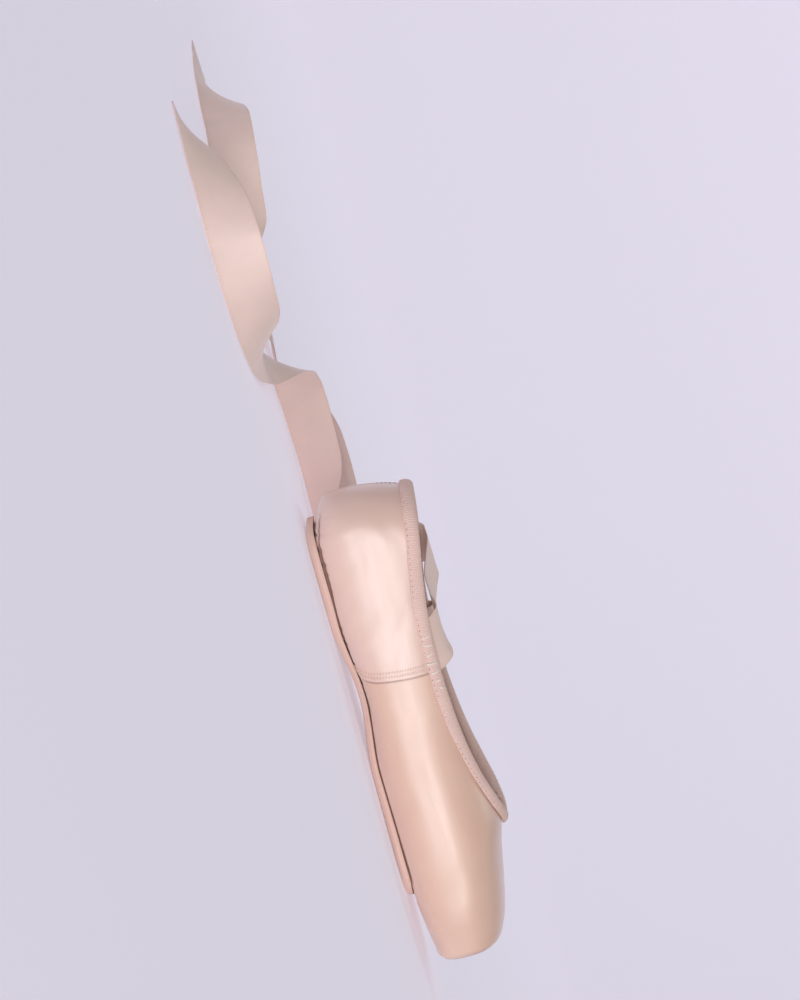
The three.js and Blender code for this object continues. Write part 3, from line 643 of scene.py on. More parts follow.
def leather_finish(colours):
    net = Finish("sole_leather", Specular_IOR_Level=0.35, Sheen_Weight=0.1)
    place = net.place()
    grain = net.add("TexVoronoi", {"Vector": place, "Scale": 900.0}, feature="SMOOTH_F1")
    fibres = net.add("TexNoise", {"Vector": net.place((90.0, 420.0, 420.0)), "Scale": 1.0,
                                  "Detail": 6.0}).outputs["Fac"]
    wear = net.shared(soft_wear, Vector=place, Scale=26.0, Where=net.mark("scuff"), Spread=0.4)
    tone = net.mix(net.ramp(fibres, 0.3, 0.7), rgb(colours.leather), rgb(colours.leather, 0.84))
    tone = net.tint(tone, wear["Mask"], 0.5, rgb(colours.leather_scuff))
    tone = net.tint(tone, net.mark("edge"), 0.8, rgb(colours.leather_edge))
    # Painted shadow: the stitched channel is darkened.
    tone = net.mix(net.mark("channel"), tone, rgb(colours.groove_shadow))
    return net.surface(tone, net.plus(0.6, wear["Blotch"], 0.25),
                       net.plus(fibres, grain.outputs["Distance"], 0.6), 0.00018, 0.6)


def cotton_finish(name, colour, shade, threads):
    net = Finish(name, Sheen_Weight=0.2, Sheen_Roughness=0.6, Specular_IOR_Level=0.2)
    weave = net.shared(plain_weave, Vector=net.cloth(), Warp=threads, Weft=threads)
    wear = net.shared(soft_wear, Vector=net.place(), Scale=30.0, Where=net.mark("rubbed"), Spread=0.4)
    tone = net.mix(net.ramp(wear["Blotch"], 0.3, 0.75), rgb(colour), rgb(colour, 0.9))
    tone = net.tint(tone, weave["Gaps"], 0.5, rgb(shade))
    tone = net.tint(tone, wear["Mask"], 0.4, rgb(shade))
    return net.surface(tone, net.plus(0.8, weave["Gaps"], 0.15), weave["Height"], 0.00015, 0.7)


def thread_finish(name, colour):
    net = Finish(name, Sheen_Weight=0.3, Specular_IOR_Level=0.4)
    twist = net.add("TexWave", {"Vector": net.place(), "Scale": 900.0, "Distortion": 1.5},
                    bands_direction="DIAGONAL").outputs["Fac"]
    wear = net.shared(soft_wear, Vector=net.place(), Scale=90.0)
    tone = net.mix(twist, rgb(colour, 0.82), rgb(colour))
    return net.surface(tone, net.plus(0.5, wear["Blotch"], 0.2), twist, 0.00008, 0.6)


def paper_finish(colour, glow):
    net = Finish("backdrop_paper", Specular_IOR_Level=0.15)
    grain = net.add("TexNoise", {"Vector": net.place(), "Scale": 700.0, "Detail": 3.0}).outputs["Fac"]
    net.shader["Emission Color"].default_value = rgb(colour)
    net.shader["Emission Strength"].default_value = glow
    return net.surface(net.tint(rgb(colour), grain, 0.05, rgb(colour, 0.9)), net.plus(0.8, grain, 0.1))


# ---- The satin over the last ----
SEAM_AT, SEAM_LEAN, SEAM_BOW = 80.0, 6.0, 2.0
PLEATS = {"from": 68.0, "turn": 0.21, "depth": 0.95}
# How deep a fold goes freely, and how much further at most.
FOLDS = {"free": 0.45, "more": 0.35}
# Columns under the shoe and up its flank, and rows over the platform.
UNDER, FLANK, PLATFORM_ROWS = 27, 58, 26


def seam_line(share):
    """How far from the heel the side seam is, from the sole's edge to the topline."""
    return SEAM_AT + SEAM_LEAN * share + SEAM_BOW * np.sin(np.pi * np.clip(share, 0, 1))


def satin_stations():
    """Distances from the heel, close together at the back seam, the side seam and the platform's rim."""
    y = np.r_[0, 0.25, 0.5, 0.8, 1.15, 1.6, np.linspace(2.4, 21, 22)]
    heel = heel_place(y)
    middle = np.arange(heel[-1] + 1.2, 74, 1.15)
    seam = SEAM_AT + np.array([-6, -5, -4.1, -3.3, -2.6, -2.0, -1.5, -1.1, -0.8, -0.5, -0.25, 0, 0.3, 0.55,
                               0.8, 1.1, 1.5, 2.1, 2.9, 3.8, 4.8, 6])
    front = np.arange(SEAM_AT + 7.1, LENGTH - RIM - 0.4, 1.2)
    rim = LENGTH - RIM * (1 - np.sin(np.linspace(0, np.pi / 2, 12)))
    return np.r_[heel, middle, seam, front, rim]


def spread_turns(place, low, high, count):
    """Turns from low to high that are equally far apart over the last, and how far along each is."""
    fine = low + (high - low) * np.linspace(0, 1, 90)
    done = run_along(last_point(place, fine))
    if done[-1] < 1e-6:
        return np.linspace(low, high, count + 1), np.zeros(count + 1)
    at = np.linspace(0, done[-1], count + 1)
    return np.interp(at, done, fine), at


def satin_grid():
    """Rows of points from the toe round the heel to the toe, and columns from under the sole to the topline:
    the points, each row's place, each point's distance from the heel and height above the sole's edge, and
    each column's share of the way up."""
    left = satin_stations()
    places = np.r_[-left[:0:-1], left]
    share = np.r_[np.zeros(UNDER), np.linspace(0, 1, FLANK + 1)]
    # Rows near the side seam lean forward with it.
    lean = seam_line(share) - SEAM_AT
    follow = band(np.abs(places), 40, SEAM_AT - 8, SEAM_AT + 8, 128)
    from_heel = np.abs(places)[:, None] + follow[:, None] * lean[None]
    points, heights = [], []
    for place, at in zip(places, from_heel):
        base, edge, top = place or 1e-9, float(sole_edge_turn(abs(place))), float(topline_turn(place))
        low, below = spread_turns(base, 0.0, edge, UNDER)
        high, above = spread_turns(base, edge, top, FLANK)
        # A column that the seam carries forward keeps its share of the height there.
        turns = np.r_[low[:-1], high] + (topline_turn(at) - top) * share
        side = -1 if place < 0 else 1
        points.append(last_point(side * np.maximum(at, 1e-9), np.minimum(turns, np.pi)))
        heights.append(np.r_[below[:-1] - below[-1], above])
    return np.array(points), places, from_heel, np.array(heights), share


def hump(distance, width):
    """A soft ridge that is one high at no distance."""
    return np.exp(-((distance / width) ** 2))


def seam_lap(from_seam, height):
    """The quarter laps over the vamp at the side seam, with a turned edge."""
    over = 0.34 * np.exp(from_seam / 9.0) + 0.16 * hump(from_seam + 0.8, 0.55)
    return np.where(from_seam <= 1e-6, over, -0.24 * hump(from_seam, 0.55)) * smooth(-3, 0.5, height)


def back_seam(y, z, near):
    """A furrow between two soft ridges, gathered near the topline."""
    gathers = smooth(36, 44, z) * hump(np.abs(y), 5) * 0.16 * np.sin(z * 2.3 + np.abs(y) * 0.8)
    return near * (gathers - 0.34 * hump(y, 0.34) + 0.2 * hump(np.abs(y) - 0.95, 0.5))


def puckers(edge, from_heel, height):
    """Small folds where the satin is drawn in under the sole."""
    run = run_along(edge)[:, None]
    wave = run / 4.4 + 0.55 * np.sin(run / 13.0) + 0.3 * np.sin(run / 5.1 + 1.0)
    folds = np.maximum(0, np.sin(2 * np.pi * wave)) ** 1.5 * (0.55 + 0.45 * np.sin(run / 8.3 + 2.0))
    strength = 0.58 * (1 - smooth(84, 112, from_heel)) + 0.12 + 0.3 * smooth(178, 196, from_heel)
    reach = 2.2 + 2.4 * (0.5 + 0.5 * np.sin(run / 3.7))
    return -folds * strength * np.exp(-np.maximum(height, 0) / reach)


def tuck(from_heel, height):
    """The satin goes in along the sole's edge."""
    return -0.5 * hump(height, 1.0) * band(from_heel, 5, 11, 176, 190)


def toe_pleats(x, y, z, from_heel):
    """Pleats that fan out under the toe, in front of the sole."""
    radius, fan = np.hypot(x - PLEATS["from"], y), np.arctan2(y, x - PLEATS["from"])
    count = fan / PLEATS["turn"] + 0.3 * np.sin(fan * 5) + 0.1 * np.sin(fan * 11 + radius / 9)
    across = count - np.floor(count)
    fold = smooth(0, 0.42, across) * smooth(0, 0.58, 1 - across)
    depth = PLEATS["depth"] * (1 - 0.6 * smooth(20, 42, radius))
    window = smooth(6, 14, radius) * (1 - smooth(7, 15, z))
    window = window * band(from_heel, 184, 192, LENGTH - 9, LENGTH - 2.5)
    return window * depth * (fold - 0.75)


def crease_field(from_heel, height, side):
    """The soft troughs and ridges of the table, each deepest in the middle of its length."""
    field = np.zeros_like(height)
    for which, u0, v0, u1, v1, width, depth in CREASES:
        du, dv = u1 - u0, v1 - v0
        held = np.clip(((from_heel - u0) * du + (height - v0) * dv) / (du * du + dv * dv), 0, 1)
        distance = np.hypot(from_heel - u0 - held * du, height - v0 - held * dv)
        hit = depth * hump(distance, width) * (0.55 + 0.45 * np.sin(np.pi * held))
        field += np.where((which == 0) | (side == which), hit, 0)
    return field


def satin_relief(points, places, from_heel, height, share):
    """How far the satin stands off the last, and the marks for its colour."""
    side = np.where(places < 0, -1, 1)[:, None]
    x, y, z = np.moveaxis(points, -1, 0)
    from_seam = from_heel - seam_line(share)[None]
    at_back = (1 - smooth(5, 9, from_heel)) * smooth(4, 9, z)
    # Cloth is never quite even, and less so where it isn't stiffened.
    uneven = 0.16 * soft_noise(points, 21.0, 1) + 0.07 * soft_noise(points, 8.0, 2)
    relief = (seam_lap(from_seam, height) + back_seam(y, z, at_back)
              + puckers(points[:, UNDER], from_heel, height) + tuck(from_heel, height)
              + toe_pleats(x, y, z, from_heel)
              + crease_field(from_heel, height, side) * smooth(-0.5, 1.0, height)
              + uneven * (1 - 0.6 * smooth(110, 170, from_heel)))
    # It lies close under the binding.
    below_top = height[:, -1:] - height
    under_tape = np.where(np.abs(places)[:, None] <= THROAT, 1 - smooth(4.5, 7.5, below_top), 0.0)
    relief = relief * (1 - 0.7 * under_tape) - 0.05 * under_tape
    # However deep a fold is, it stops short of the lining.
    deep = -FOLDS["free"] - relief
    relief = np.where(deep > 0, -FOLDS["free"] - FOLDS["more"] * np.tanh(deep / FOLDS["more"]), relief)
    seams = hump(from_seam - 0.4, 0.45) * smooth(-1, 1, height) + at_back * hump(y, 0.4) * 0.8
    # The groove mark places painted shadow just above the sole's edge.
    groove = hump(height + 0.2, 0.75) * band(from_heel, 4, 10, 174, 186)
    # The rim mark places painted shadow along the platform's edge and handling dirt near it.
    marks = {"quarter": np.where(from_seam <= 1e-6, 1.0, 0.0), "seam": np.clip(seams, 0, 1),
             "groove": np.clip(groove, 0, 1), "rim": smooth(LENGTH - 2.6, LENGTH - 0.4, from_heel) * 0.75}
    return relief, marks


def satin_sheet():
    """The last and the displaced satin over it, their normals, and the satin's cloth map and marks."""
    points, places, from_heel, height, share = satin_grid()
    relief, marks = satin_relief(points, places, from_heel, height, share)
    # The platform is closed by rows from the last on the left to the first on the right.
    across = np.linspace(-1, 1, PLATFORM_ROWS + 2)[1:-1, None]
    level = np.abs(np.linspace(-1, 1, UNDER + FLANK + 1))[None]
    t = (across[..., None] + 1) / 2
    cap = points[-1] * (1 - t) + points[0] * t
    closed = lambda rows, platform: np.concatenate([rows, platform, rows[:1]])
    bare = closed(points, cap)
    normals, number = grid_normals(bare)
    dome = 0.5 * (1 - across**2) * (1 - level**2) + 0.05 * soft_noise(cap, 6.0, 4)
    off = shared(closed(relief, dome), number)
    to_rim = 1 - np.maximum(np.abs(across), level)
    plain = np.zeros_like(to_rim)
    shown = {"quarter": closed(marks["quarter"], plain)}
    # On the platform the rim mark is faint all over, for dirt, and strong at the edge, for painted shadow.
    for key, platform in (("seam", plain), ("groove", plain), ("rim", 0.25 + 0.5 * hump(to_rim, 0.06))):
        shown[key] = shared(closed(marks[key], platform), number)
    u = closed(np.where(places < 0, -1, 1)[:, None] * from_heel, LENGTH + (1 + across) * 25 + plain)
    u[-1] = from_heel[0]
    v = closed(height, height[-1] + plain)
    return bare, bare + normals * off[..., None], normals, np.stack([u, v], -1), shown


# ---- Settings ----
def size_property(name, description, default, high):
    return FloatProperty(name=name, description=description, default=default * MM, min=0.0, max=high * MM,
                         unit="LENGTH", precision=5)


def colour_property(name, description, default):
    return FloatVectorProperty(name=name, description=description, default=default, subtype="COLOR", size=3,
                               min=0.0, max=1.0)


def angle_property(name, description, degrees):
    return FloatProperty(name=name, description=description, default=math.radians(degrees), subtype="ANGLE")


def distance_property(name, description, default):
    return FloatProperty(name=name, description=description, default=default, unit="LENGTH")


def power_property(name, light, default):
    return FloatProperty(name=name, description="Power of the " + light, default=default, unit="POWER")


class ShoeSizes(bpy.types.PropertyGroup):
    """Sizes of the cloth, thread and leather."""
    satin: size_property("Satin", "Thickness of the satin", 0.4, 2)
    lining: size_property("Lining", "Thickness of the cotton lining", 0.5, 2)
    ribbon: size_property("Ribbon", "Thickness of the ribbon", 0.36, 1)
    binding_thread: size_property("Binding thread", "Thickness of the thread along the binding", 0.34, 1)
    binding_pitch: size_property("Binding pitch", "Distance between stitches along the binding", 2.5, 10)
    seam_thread: size_property("Seam thread", "Thickness of the thread at the side seam", 0.3, 1)
    tack_thread: size_property("Tack thread", "Thickness of the bars that hold the ribbon", 0.88, 2)
    drawstring: size_property("Drawstring", "Thickness of the drawstring", 1.15, 3)


class ShoeColours(bpy.types.PropertyGroup):
    """Colours of the shoe."""
    satin: colour_property("Satin", "Satin of the vamp", (0.775, 0.522, 0.408))
    satin_shade: colour_property("Satin shade", "Slight darker blotches of the satin", (0.742, 0.48, 0.365))
    quarter: colour_property("Quarter", "Satin of the heel quarters", (0.79, 0.56, 0.475))
    binding: colour_property("Binding", "Ribbed tape over the topline", (0.86, 0.62, 0.55))
    ribbon: colour_property("Ribbon", "Satin ribbon", (0.84, 0.65, 0.58))
    ribbon_edge: colour_property("Ribbon edge", "Woven edge of the ribbon", (0.78, 0.57, 0.50))
    leather: colour_property("Leather", "Sole leather", (0.66, 0.46, 0.35))
    leather_edge: colour_property("Leather edge", "Cut edge of the sole", (0.76, 0.54, 0.47))
    leather_scuff: colour_property("Leather scuff", "Rubbed patches of the sole", (0.45, 0.30, 0.21))
    cotton: colour_property("Cotton", "Lining", (0.94, 0.86, 0.79))
    cotton_shade: colour_property("Cotton shade", "Gaps in the lining's weave", (0.78, 0.65, 0.56))
    sock: colour_property("Sock", "Cloth of the insole", (0.90, 0.77, 0.67))
    thread: colour_property("Thread", "Sewing thread", (0.78, 0.56, 0.45))
    tack: colour_property("Tack thread", "Thread that holds the ribbons", (0.95, 0.84, 0.77))
    dark_thread: colour_property("Dark thread", "Shadowed thread along the binding", (0.36, 0.20, 0.14))
    seam_shadow: colour_property("Seam shadow", "Depth of the seams", (0.30, 0.15, 0.10))
    # Partly painted shadow: the line along the platform's edge stands in for the shadow there, and the
    # blotches near it are handling dirt.
    rim_shadow_and_dirt: colour_property("Rim", "Handled rim of the platform", (0.46, 0.25, 0.16))
    # Painted shadow: the near-black colour laid in the groove above the sole and in the sole's stitched
    # channel.
    groove_shadow: colour_property("Groove", "Groove above the sole", (0.13, 0.05, 0.03))


class StageSettings(bpy.types.PropertyGroup):
    """Camera, lights and paper."""
    azimuth: angle_property("Azimuth", "Camera's turn round the shoe", -9.0)
    elevation: angle_property("Elevation", "Camera's angle above the floor", 2.2)
    distance: distance_property("Distance", "Camera to shoe", 1.35)
    view_height: distance_property("View height", "Height of the view at the shoe", 0.452)
    target: FloatVectorProperty(name="Target", description="Where the camera looks", subtype="TRANSLATION",
                                unit="LENGTH", default=(-0.098, 0.0, 0.045))
    key_power: power_property("Key", "low front light", 27.5)
    toe_power: power_property("Toe", "low light at the toe", 13.0)
    top_power: power_property("Top", "soft top light", 14.0)
    wall_power: power_property("Wall", "backdrop light", 2.0)
    paper: colour_property("Paper", "Backdrop and floor", (0.70, 0.675, 0.765))
    glow: FloatProperty(name="Glow", description="Light that comes through the paper", default=0.45)
    sky: colour_property("Sky", "Soft light from all round", (0.90, 0.87, 0.90))
    sky_strength: FloatProperty(name="Sky strength", description="Strength of the soft light", default=0.27)


# ---- Operators ----
class Maker:
    bl_options = {"REGISTER", "UNDO"}

    @classmethod
    def poll(cls, context):
        return context.mode == "OBJECT"

    def execute(self, context):
        self.make(context.scene.shoe_sizes, context.scene.shoe_colours, context.scene.shoe_stage)
        return {"FINISHED"}


class SHOE_OT_camera(Maker, bpy.types.Operator):
    """Long lens beside the shoe, rolled so that the toe points down"""
    bl_idname = "shoe.camera"
    bl_label = "Camera"

    def make(self, sizes, colours, stage):
        back = Vector((math.sin(stage.azimuth) * math.cos(stage.elevation),
                       -math.cos(stage.azimuth) * math.cos(stage.elevation), math.sin(stage.elevation)))
        bpy.ops.object.select_all(action="DESELECT")
        bpy.ops.object.camera_add(location=Vector(stage.target) + back * stage.distance)
        camera = bpy.context.object
        camera.name = "camera"
        up = Vector(CAMERA_UP)
        up = (up - back * up.dot(back)).normalized()
        right = up.cross(back)
        camera.rotation_mode = "QUATERNION"
        camera.rotation_quaternion = Matrix((right, up, back)).transposed().to_quaternion()
        camera.data.sensor_width = 36.0
        camera.data.lens = 36.0 * stage.distance / stage.view_height
        camera.data.clip_start, camera.data.clip_end = 0.02, 30.0
        bpy.context.scene.camera = camera


def catmull(points, t):
    """Points of a centripetal curve through all the points, for t from 0 to 1."""
    last = len(points) - 1
    at = np.asarray(t) * last
    k = np.minimum(np.floor(at).astype(int), last - 1)
    w = (at - k)[:, None]
    padded = np.concatenate([[2 * points[0] - points[1]], points, [2 * points[-1] - points[-2]]])
    p0, p1, p2, p3 = (padded[k + i] for i in range(4))
    step = lambda a, b: (((a - b) ** 2).sum(-1) ** 0.25)[:, None]
    d0, d1, d2 = step(p0, p1), step(p1, p2), step(p2, p3)
    t1 = ((p1 - p0) / d0 - (p2 - p0) / (d0 + d1) + (p2 - p1) / d1) * d1
    t2 = ((p2 - p1) / d1 - (p3 - p1) / (d1 + d2) + (p3 - p2) / d2) * d1
    return p1 + t1 * w + (-3 * p1 + 3 * p2 - 2 * t1 - t2) * w**2 + (2 * p1 - 2 * p2 + t1 + t2) * w**3


def ribbon_frames(route, count):
    """The middle line of a ribbon, and its directions along, across and out of its face."""
    t = np.linspace(0, 1, count + 1)
    centre = catmull(route[:, :3], t)
    ahead, behind = (catmull(route[:, :3], np.clip(t + step, 0, 1)) for step in (1e-4, -1e-4))
    tangent = unit(ahead - behind)
    rows = np.arange(len(route)) / (len(route) - 1)
    heading, bank = (np.radians(np.interp(t, rows, route[:, i])) for i in (3, 4))
    level = np.stack([-np.sin(heading), np.cos(heading), np.zeros_like(heading)], -1)
    level = unit(level - tangent * (level * tangent).sum(-1, keepdims=True))
    side = level * np.cos(bank)[:, None] + np.cross(tangent, level) * np.sin(bank)[:, None]
    return centre, tangent, side, unit(np.cross(tangent, side))


class SHOE_OT_ribbons(Maker, bpy.types.Operator):
    """Two satin ribbons, sewn inside the quarters and laid down on the floor"""
    bl_idname = "shoe.ribbons"
    bl_label = "Ribbons"

    def make(self, sizes, colours, stage):
        satin = ribbon_finish(colours)
        even = np.linspace(-1, 1, 23)
        across = 0.85 * np.sin(even * np.pi / 2) + 0.15 * even
        around = np.r_[across, across[::-1], across[0]]
        thick = sizes.ribbon / MM * (1 + 0.35 * smooth(0.88, 0.97, np.abs(across)))
        for name, route, phase in (("ribbon_left", LEFT_RIBBON, 0.0), ("ribbon_right", RIGHT_RIBBON, 2.0)):
            centre, _, side, face = ribbon_frames(route, RIBBON_ROWS)
            run = run_along(centre)
            # A little cupping across, and ripples at the edges where the strip turns.
            cup = 0.22 * (across**2 - 0.4)[None] * np.sin(run / 23.0 + phase)[:, None]
            waves = np.sin(run[:, None] / 4.3 + 2 * across[None] + phase)
            ripple = 0.10 * (np.abs(across) ** 3)[None] * waves
            lift = (cup + ripple) * band(run, 60, 100, run[-1] - 20, run[-1])[:, None]
            line = centre[:, None] + side[:, None] * (across * RIBBON_WIDE / 2)[None, :, None]
            top, under = (line + face[:, None] * (lift + way * thick)[..., None] for way in (0.5, -0.5))
            # The ring runs up one face and back on the other, and meets itself.
            ring = np.concatenate([under, top[:, ::-1], under[:, :1]], 1)
            ring[..., 2] += np.maximum(RIBBON_REST - ring[..., 2].min(1), 0)[:, None]
            uv = paired(run[:, None], around[None] * RIBBON_WIDE / 2)
            marks = {"selvedge": np.broadcast_to(smooth(0.86, 0.95, np.abs(around)), ring.shape[:2]),
                     "cut": np.broadcast_to(smooth(run[-1] - 1.0, run[-1], run)[:, None], ring.shape[:2])}
            piece = shaped_grid(name + "_satin", ring, uv, marks, fill_ends=True)
            finish_piece(piece, satin, [name])


class SHOE_OT_upper(Maker, bpy.types.Operator):
    """Satin over the whole shoe, with its seams, puckers, pleats and creases"""
    bl_idname = "shoe.upper"
    bl_label = "Satin upper"

    def make(self, sizes, colours, stage):
        _, satin, _, uv, marks = satin_sheet()
        piece = shaped_grid("satin_upper", satin, uv, marks)
        thicken(piece, sizes.satin / MM)
        finish_piece(piece, satin_finish(colours), ["upper"])


class SHOE_OT_lining(Maker, bpy.types.Operator):
    """Cotton lining inside the satin"""
    bl_idname = "shoe.lining"
    bl_label = "Lining"

    def make(self, sizes, colours, stage):
        bare, _, normals, uv, _ = satin_sheet()
        keep, columns = (np.unique(np.r_[np.arange(0, size - 1, 2), size - 1]) for size in bare.shape[:2])
        at = np.minimum(np.abs(uv[..., 0]), LENGTH)
        inner = bare - normals * (wall_at(at) - sizes.lining / MM)[..., None]
        inner += normals * (0.18 * soft_noise(bare, 11.0, 7))[..., None]
        pick = np.ix_(keep, columns)
        rubbed = 0.35 * (1 - smooth(60, 150, at))
        piece = shaped_grid("cotton_lining", inner[pick], uv[pick], {"rubbed": rubbed[pick]})
        thicken(piece, sizes.lining / MM)
        finish_piece(piece, cotton_finish("lining_cotton", colours.cotton, colours.cotton_shade, 1100.0))


def plate_rings(limits, columns, half_at, low, high, count):
    """Rings over a plate, from its back end to its front end, and each point's share across."""
    end = limits["round"] * (1 - np.cos(np.linspace(0, np.pi / 2, 14)[:-1]))
    middle = np.linspace(limits["from"] + limits["round"], limits["to"] - limits["round"], count)
    at = np.r_[limits["from"] + end, middle, (limits["to"] - end)[::-1]]
    s = np.sin(np.linspace(-np.pi / 2, np.pi / 2, columns + 1))
    half = half_at(at)[:, None]
    here = at[:, None] * np.ones_like(s)[None]
    y = half * s[None]
    top = np.stack([here - LENGTH / 2, y, high(here, y, s[None])], -1)
    bottom = np.stack([here - LENGTH / 2, y, low(here, y, s[None])], -1)
    return at, s, top, bottom


def rounded_half(half, at, limits):
    """Half the width of a plate whose ends are rounded."""
    end = np.maximum(np.minimum(at - limits["from"], limits["to"] - at), 0)
    return np.maximum(half * (1 - inset(limits["round"], end) / limits["round"]), 0.16 * half)


class SHOE_OT_outsole(Maker, bpy.types.Operator):
    """Skived leather sole with its stitched channel"""
    bl_idname = "shoe.outsole"
    bl_label = "Outsole"

    def make(self, sizes, colours, stage):
        half_at = lambda at: rounded_half(along(SOLE_WIDTHS, 1, at), at, SOLE)
        skive = lambda s: SOLE["skive"] * (np.maximum(0, np.abs(s) - 0.72) / 0.28) ** 2
        low = lambda at, y, s: ground(at) + skive(s) + 0.75 * heel_lift(at)
        high = lambda at, y, s: np.minimum(underside(at, y) - 1.3 * GAP, low(at, y, s) + SOLE["thick"] + 0.4)
        at, s, top, bottom = plate_rings(SOLE, 44, half_at, low, high, 150)
        # The knife has taken a little more off right at the edge.
        bottom[..., 2] += 0.9 * smooth(0.9, 1.0, np.abs(s))[None] * (0.85 + 0.15 * np.sin(at / 7.0))[:, None]
        outline = self.outline(half_at)
        inside = self.from_outline(bottom[..., :2], outline)
        channel = hump(inside - CHANNEL_IN, 0.45)
        bottom[..., 2] += 0.3 * channel + 0.05 * soft_noise(bottom, 9.0, 3)
        bottom[..., 2] = np.maximum(bottom[..., 2], 0.0)
        # The cut edge is a little rounded.
        t = np.linspace(0, 1, 5)[1:-1]
        sides = []
        for column in (-1, 0):
            a, b = top[:, column], bottom[:, column]
            out = np.array([0, 1 if column else -1, 0])
            sides.append([a * (1 - k) + b * k + out * 0.5 * math.sin(math.pi * k) for k in t])
        ring = np.concatenate([bottom, np.stack(sides[0], 1)[:, ::-1], top[:, ::-1], np.stack(sides[1], 1),
                               bottom[:, :1]], 1)
        rest = (len(at), ring.shape[1] - bottom.shape[1])
        around = np.r_[np.ones(3), smooth(0.9, 0.97, np.abs(s)), np.ones(4)]
        worn = band(at, 118, 135, 168, 184) + band(at, 14, 26, 44, 56)
        scuff = np.repeat(0.35 + 0.4 * worn[:, None], bottom.shape[1], 1)
        marks = {"edge": np.concatenate([1 - smooth(0.8, 3.2, inside), np.tile(around, (len(at), 1))], 1),
                 "scuff": np.concatenate([scuff, np.full(rest, 0.2)], 1),
                 "channel": np.concatenate([channel * 0.7, np.zeros(rest)], 1)}
        uv = paired(at[:, None], np.arange(ring.shape[1])[None])
        piece = shaped_grid("leather_outsole", ring, uv, marks, fill_ends=True)
        crisp(piece, 48)
        finish_piece(piece, leather_finish(colours), ["outsole"])
        # Stitches that lie in the channel.
        line = self.channel_line(outline, half_at, low)
        line[:, 2] += 0.33
        places = [stitch_place(a, b, (0, 0, -1), 0.42) for a, b in zip(line[:-1:2], line[1::2])]
        thread = copies("sole_stitches", thread_stitch(), places)
        finish_piece(thread, thread_finish("sole_thread", colours.cotton))

    def outline(self, half_at):
        """The sole's edge in plan, all the way round."""
        t = np.linspace(0, 1, 500)
        at = SOLE["from"] + (SOLE["to"] - SOLE["from"]) * (1 - np.cos(np.pi * t)) / 2
        side = np.stack([at - LENGTH / 2, half_at(at)], -1)
        end = np.linspace(1, -1, 24)[1:-1, None] * (0, 1)
        front, back = side[-1] * (1, 0) + end * side[-1, 1], side[0] * (1, 0) - end * side[0, 1]
        return np.concatenate([side, front, side[::-1] * (1, -1), back])

    def from_outline(self, points, outline):
        """How far points in plan are from the sole's edge."""
        flat = points.reshape(-1, 1, 2)
        near = [np.linalg.norm(flat - part[None], axis=-1).min(1) for part in np.array_split(outline, 8)]
        return np.min(near, 0).reshape(points.shape[:-1])

    def channel_line(self, outline, half_at, low):
        """Points along the channel, as far apart as the stitches are long."""
        ahead = unit(np.roll(outline, -1, 0) - np.roll(outline, 1, 0))
        loop = outline + np.stack([ahead[:, 1], -ahead[:, 0]], -1) * CHANNEL_IN
        loop = loop[self.from_outline(loop, outline) > CHANNEL_IN - 0.1]
        loop = np.concatenate([loop, loop[:1]])
        at, y = loop[:, 0] + LENGTH / 2, loop[:, 1]
        loop = np.column_stack([loop, low(at, y, y / half_at(at))])
        run = run_along(loop)
        count = int(run[-1] / 1.9) // 2 * 2
        return np.stack([np.interp(np.linspace(0, run[-1], count), run, loop[:, i]) for i in range(3)], -1)


class SHOE_OT_insole(Maker, bpy.types.Operator):
    """Cloth-covered insole"""
    bl_idname = "shoe.insole"
    bl_label = "Insole"

    def make(self, sizes, colours, stage):
        half_at = lambda at: rounded_half(INSOLE["share"] * along(LAST, 1, at), at, INSOLE)
        low = lambda at, y, s: underside(at, y, wall_at(at)) + INSOLE["clear"]
        high = lambda at, y, s: low(at, y, s) + INSOLE["thick"] * (1 - 0.25 * smooth(0.9, 1, np.abs(s)))
        at, s, top, bottom = plate_rings(INSOLE, 36, half_at, low, high, 110)
        top[..., 2] += 0.08 * soft_noise(top, 14.0, 5)
        ring = np.concatenate([bottom, top[:, ::-1], bottom[:, :1]], 1)
        v = np.r_[s, s[::-1], s[0]] * 25
        uv = paired(at[:, None], v[None])
        worn = band(at, 20, 32, 44, 58) + band(at, 126, 142, 165, 182)
        marks = {"rubbed": np.broadcast_to(0.2 + 0.4 * worn[:, None], ring.shape[:2])}
        piece = shaped_grid("insole_sock", ring, uv, marks, fill_ends=True)
        crisp(piece, 45)
        finish_piece(piece, cotton_finish("sock_cloth", colours.sock, colours.cotton_shade, 900.0),
                     ["insole"])


# ---- The topline ----
def topline_places(step):
    """Places round the topline, right side first, equally far apart."""
    b = np.r_[np.linspace(0, 1, 500) ** 2 * 40, np.linspace(40, THROAT - 30, 400)[1:]]
    b = np.r_[b, THROAT - 30 * np.linspace(1, 0, 500)[1:] ** 2.2]
    right = -(THROAT - b)
    places = np.r_[right, -right[-2::-1]]
    places[np.abs(places) < 1e-9] = 1e-9
    run = run_along(last_point(places, topline_turn(places)))
    at = np.linspace(0, run[-1], int(run[-1] / step) + 1)
    return np.interp(at, run, places), at


def topline_frames(places, ring=True):
    """For each place the surface there, its turn and the direction down from the topline."""
    turn = topline_turn(places)
    here = surface_at(places, turn)
    if ring:
        after, before = np.roll(here[0], -1, 0), np.roll(here[0], 1, 0)
        after[-1], before[0] = here[0][1], here[0][-2]
    else:
        after, before = (last_point(places + d, topline_turn(places + d)) for d in (0.05, -0.05))
    return here, turn, unit(np.cross(here[4], unit(after - before)))


def tape_inside(wall):
    """How far off the last the tape's inner leg starts."""
    return -(wall + 1.9 * GAP)


def binding_fullness(places):
    """How much thicker the tape is than at the heel."""
    return 1 + BINDING["throat_gain"] * smooth(THROAT - 45, THROAT, np.abs(places))


def binding_offset(here, turn, down, depth, off):
    """Points at a depth below the topline and an offset from the last."""
    depth = np.broadcast_to(np.asarray(depth, float), turn.shape)
    point, normal = step_along(here, turn, down, depth)
    return point + normal * np.broadcast_to(np.asarray(off, float), turn.shape)[..., None], normal


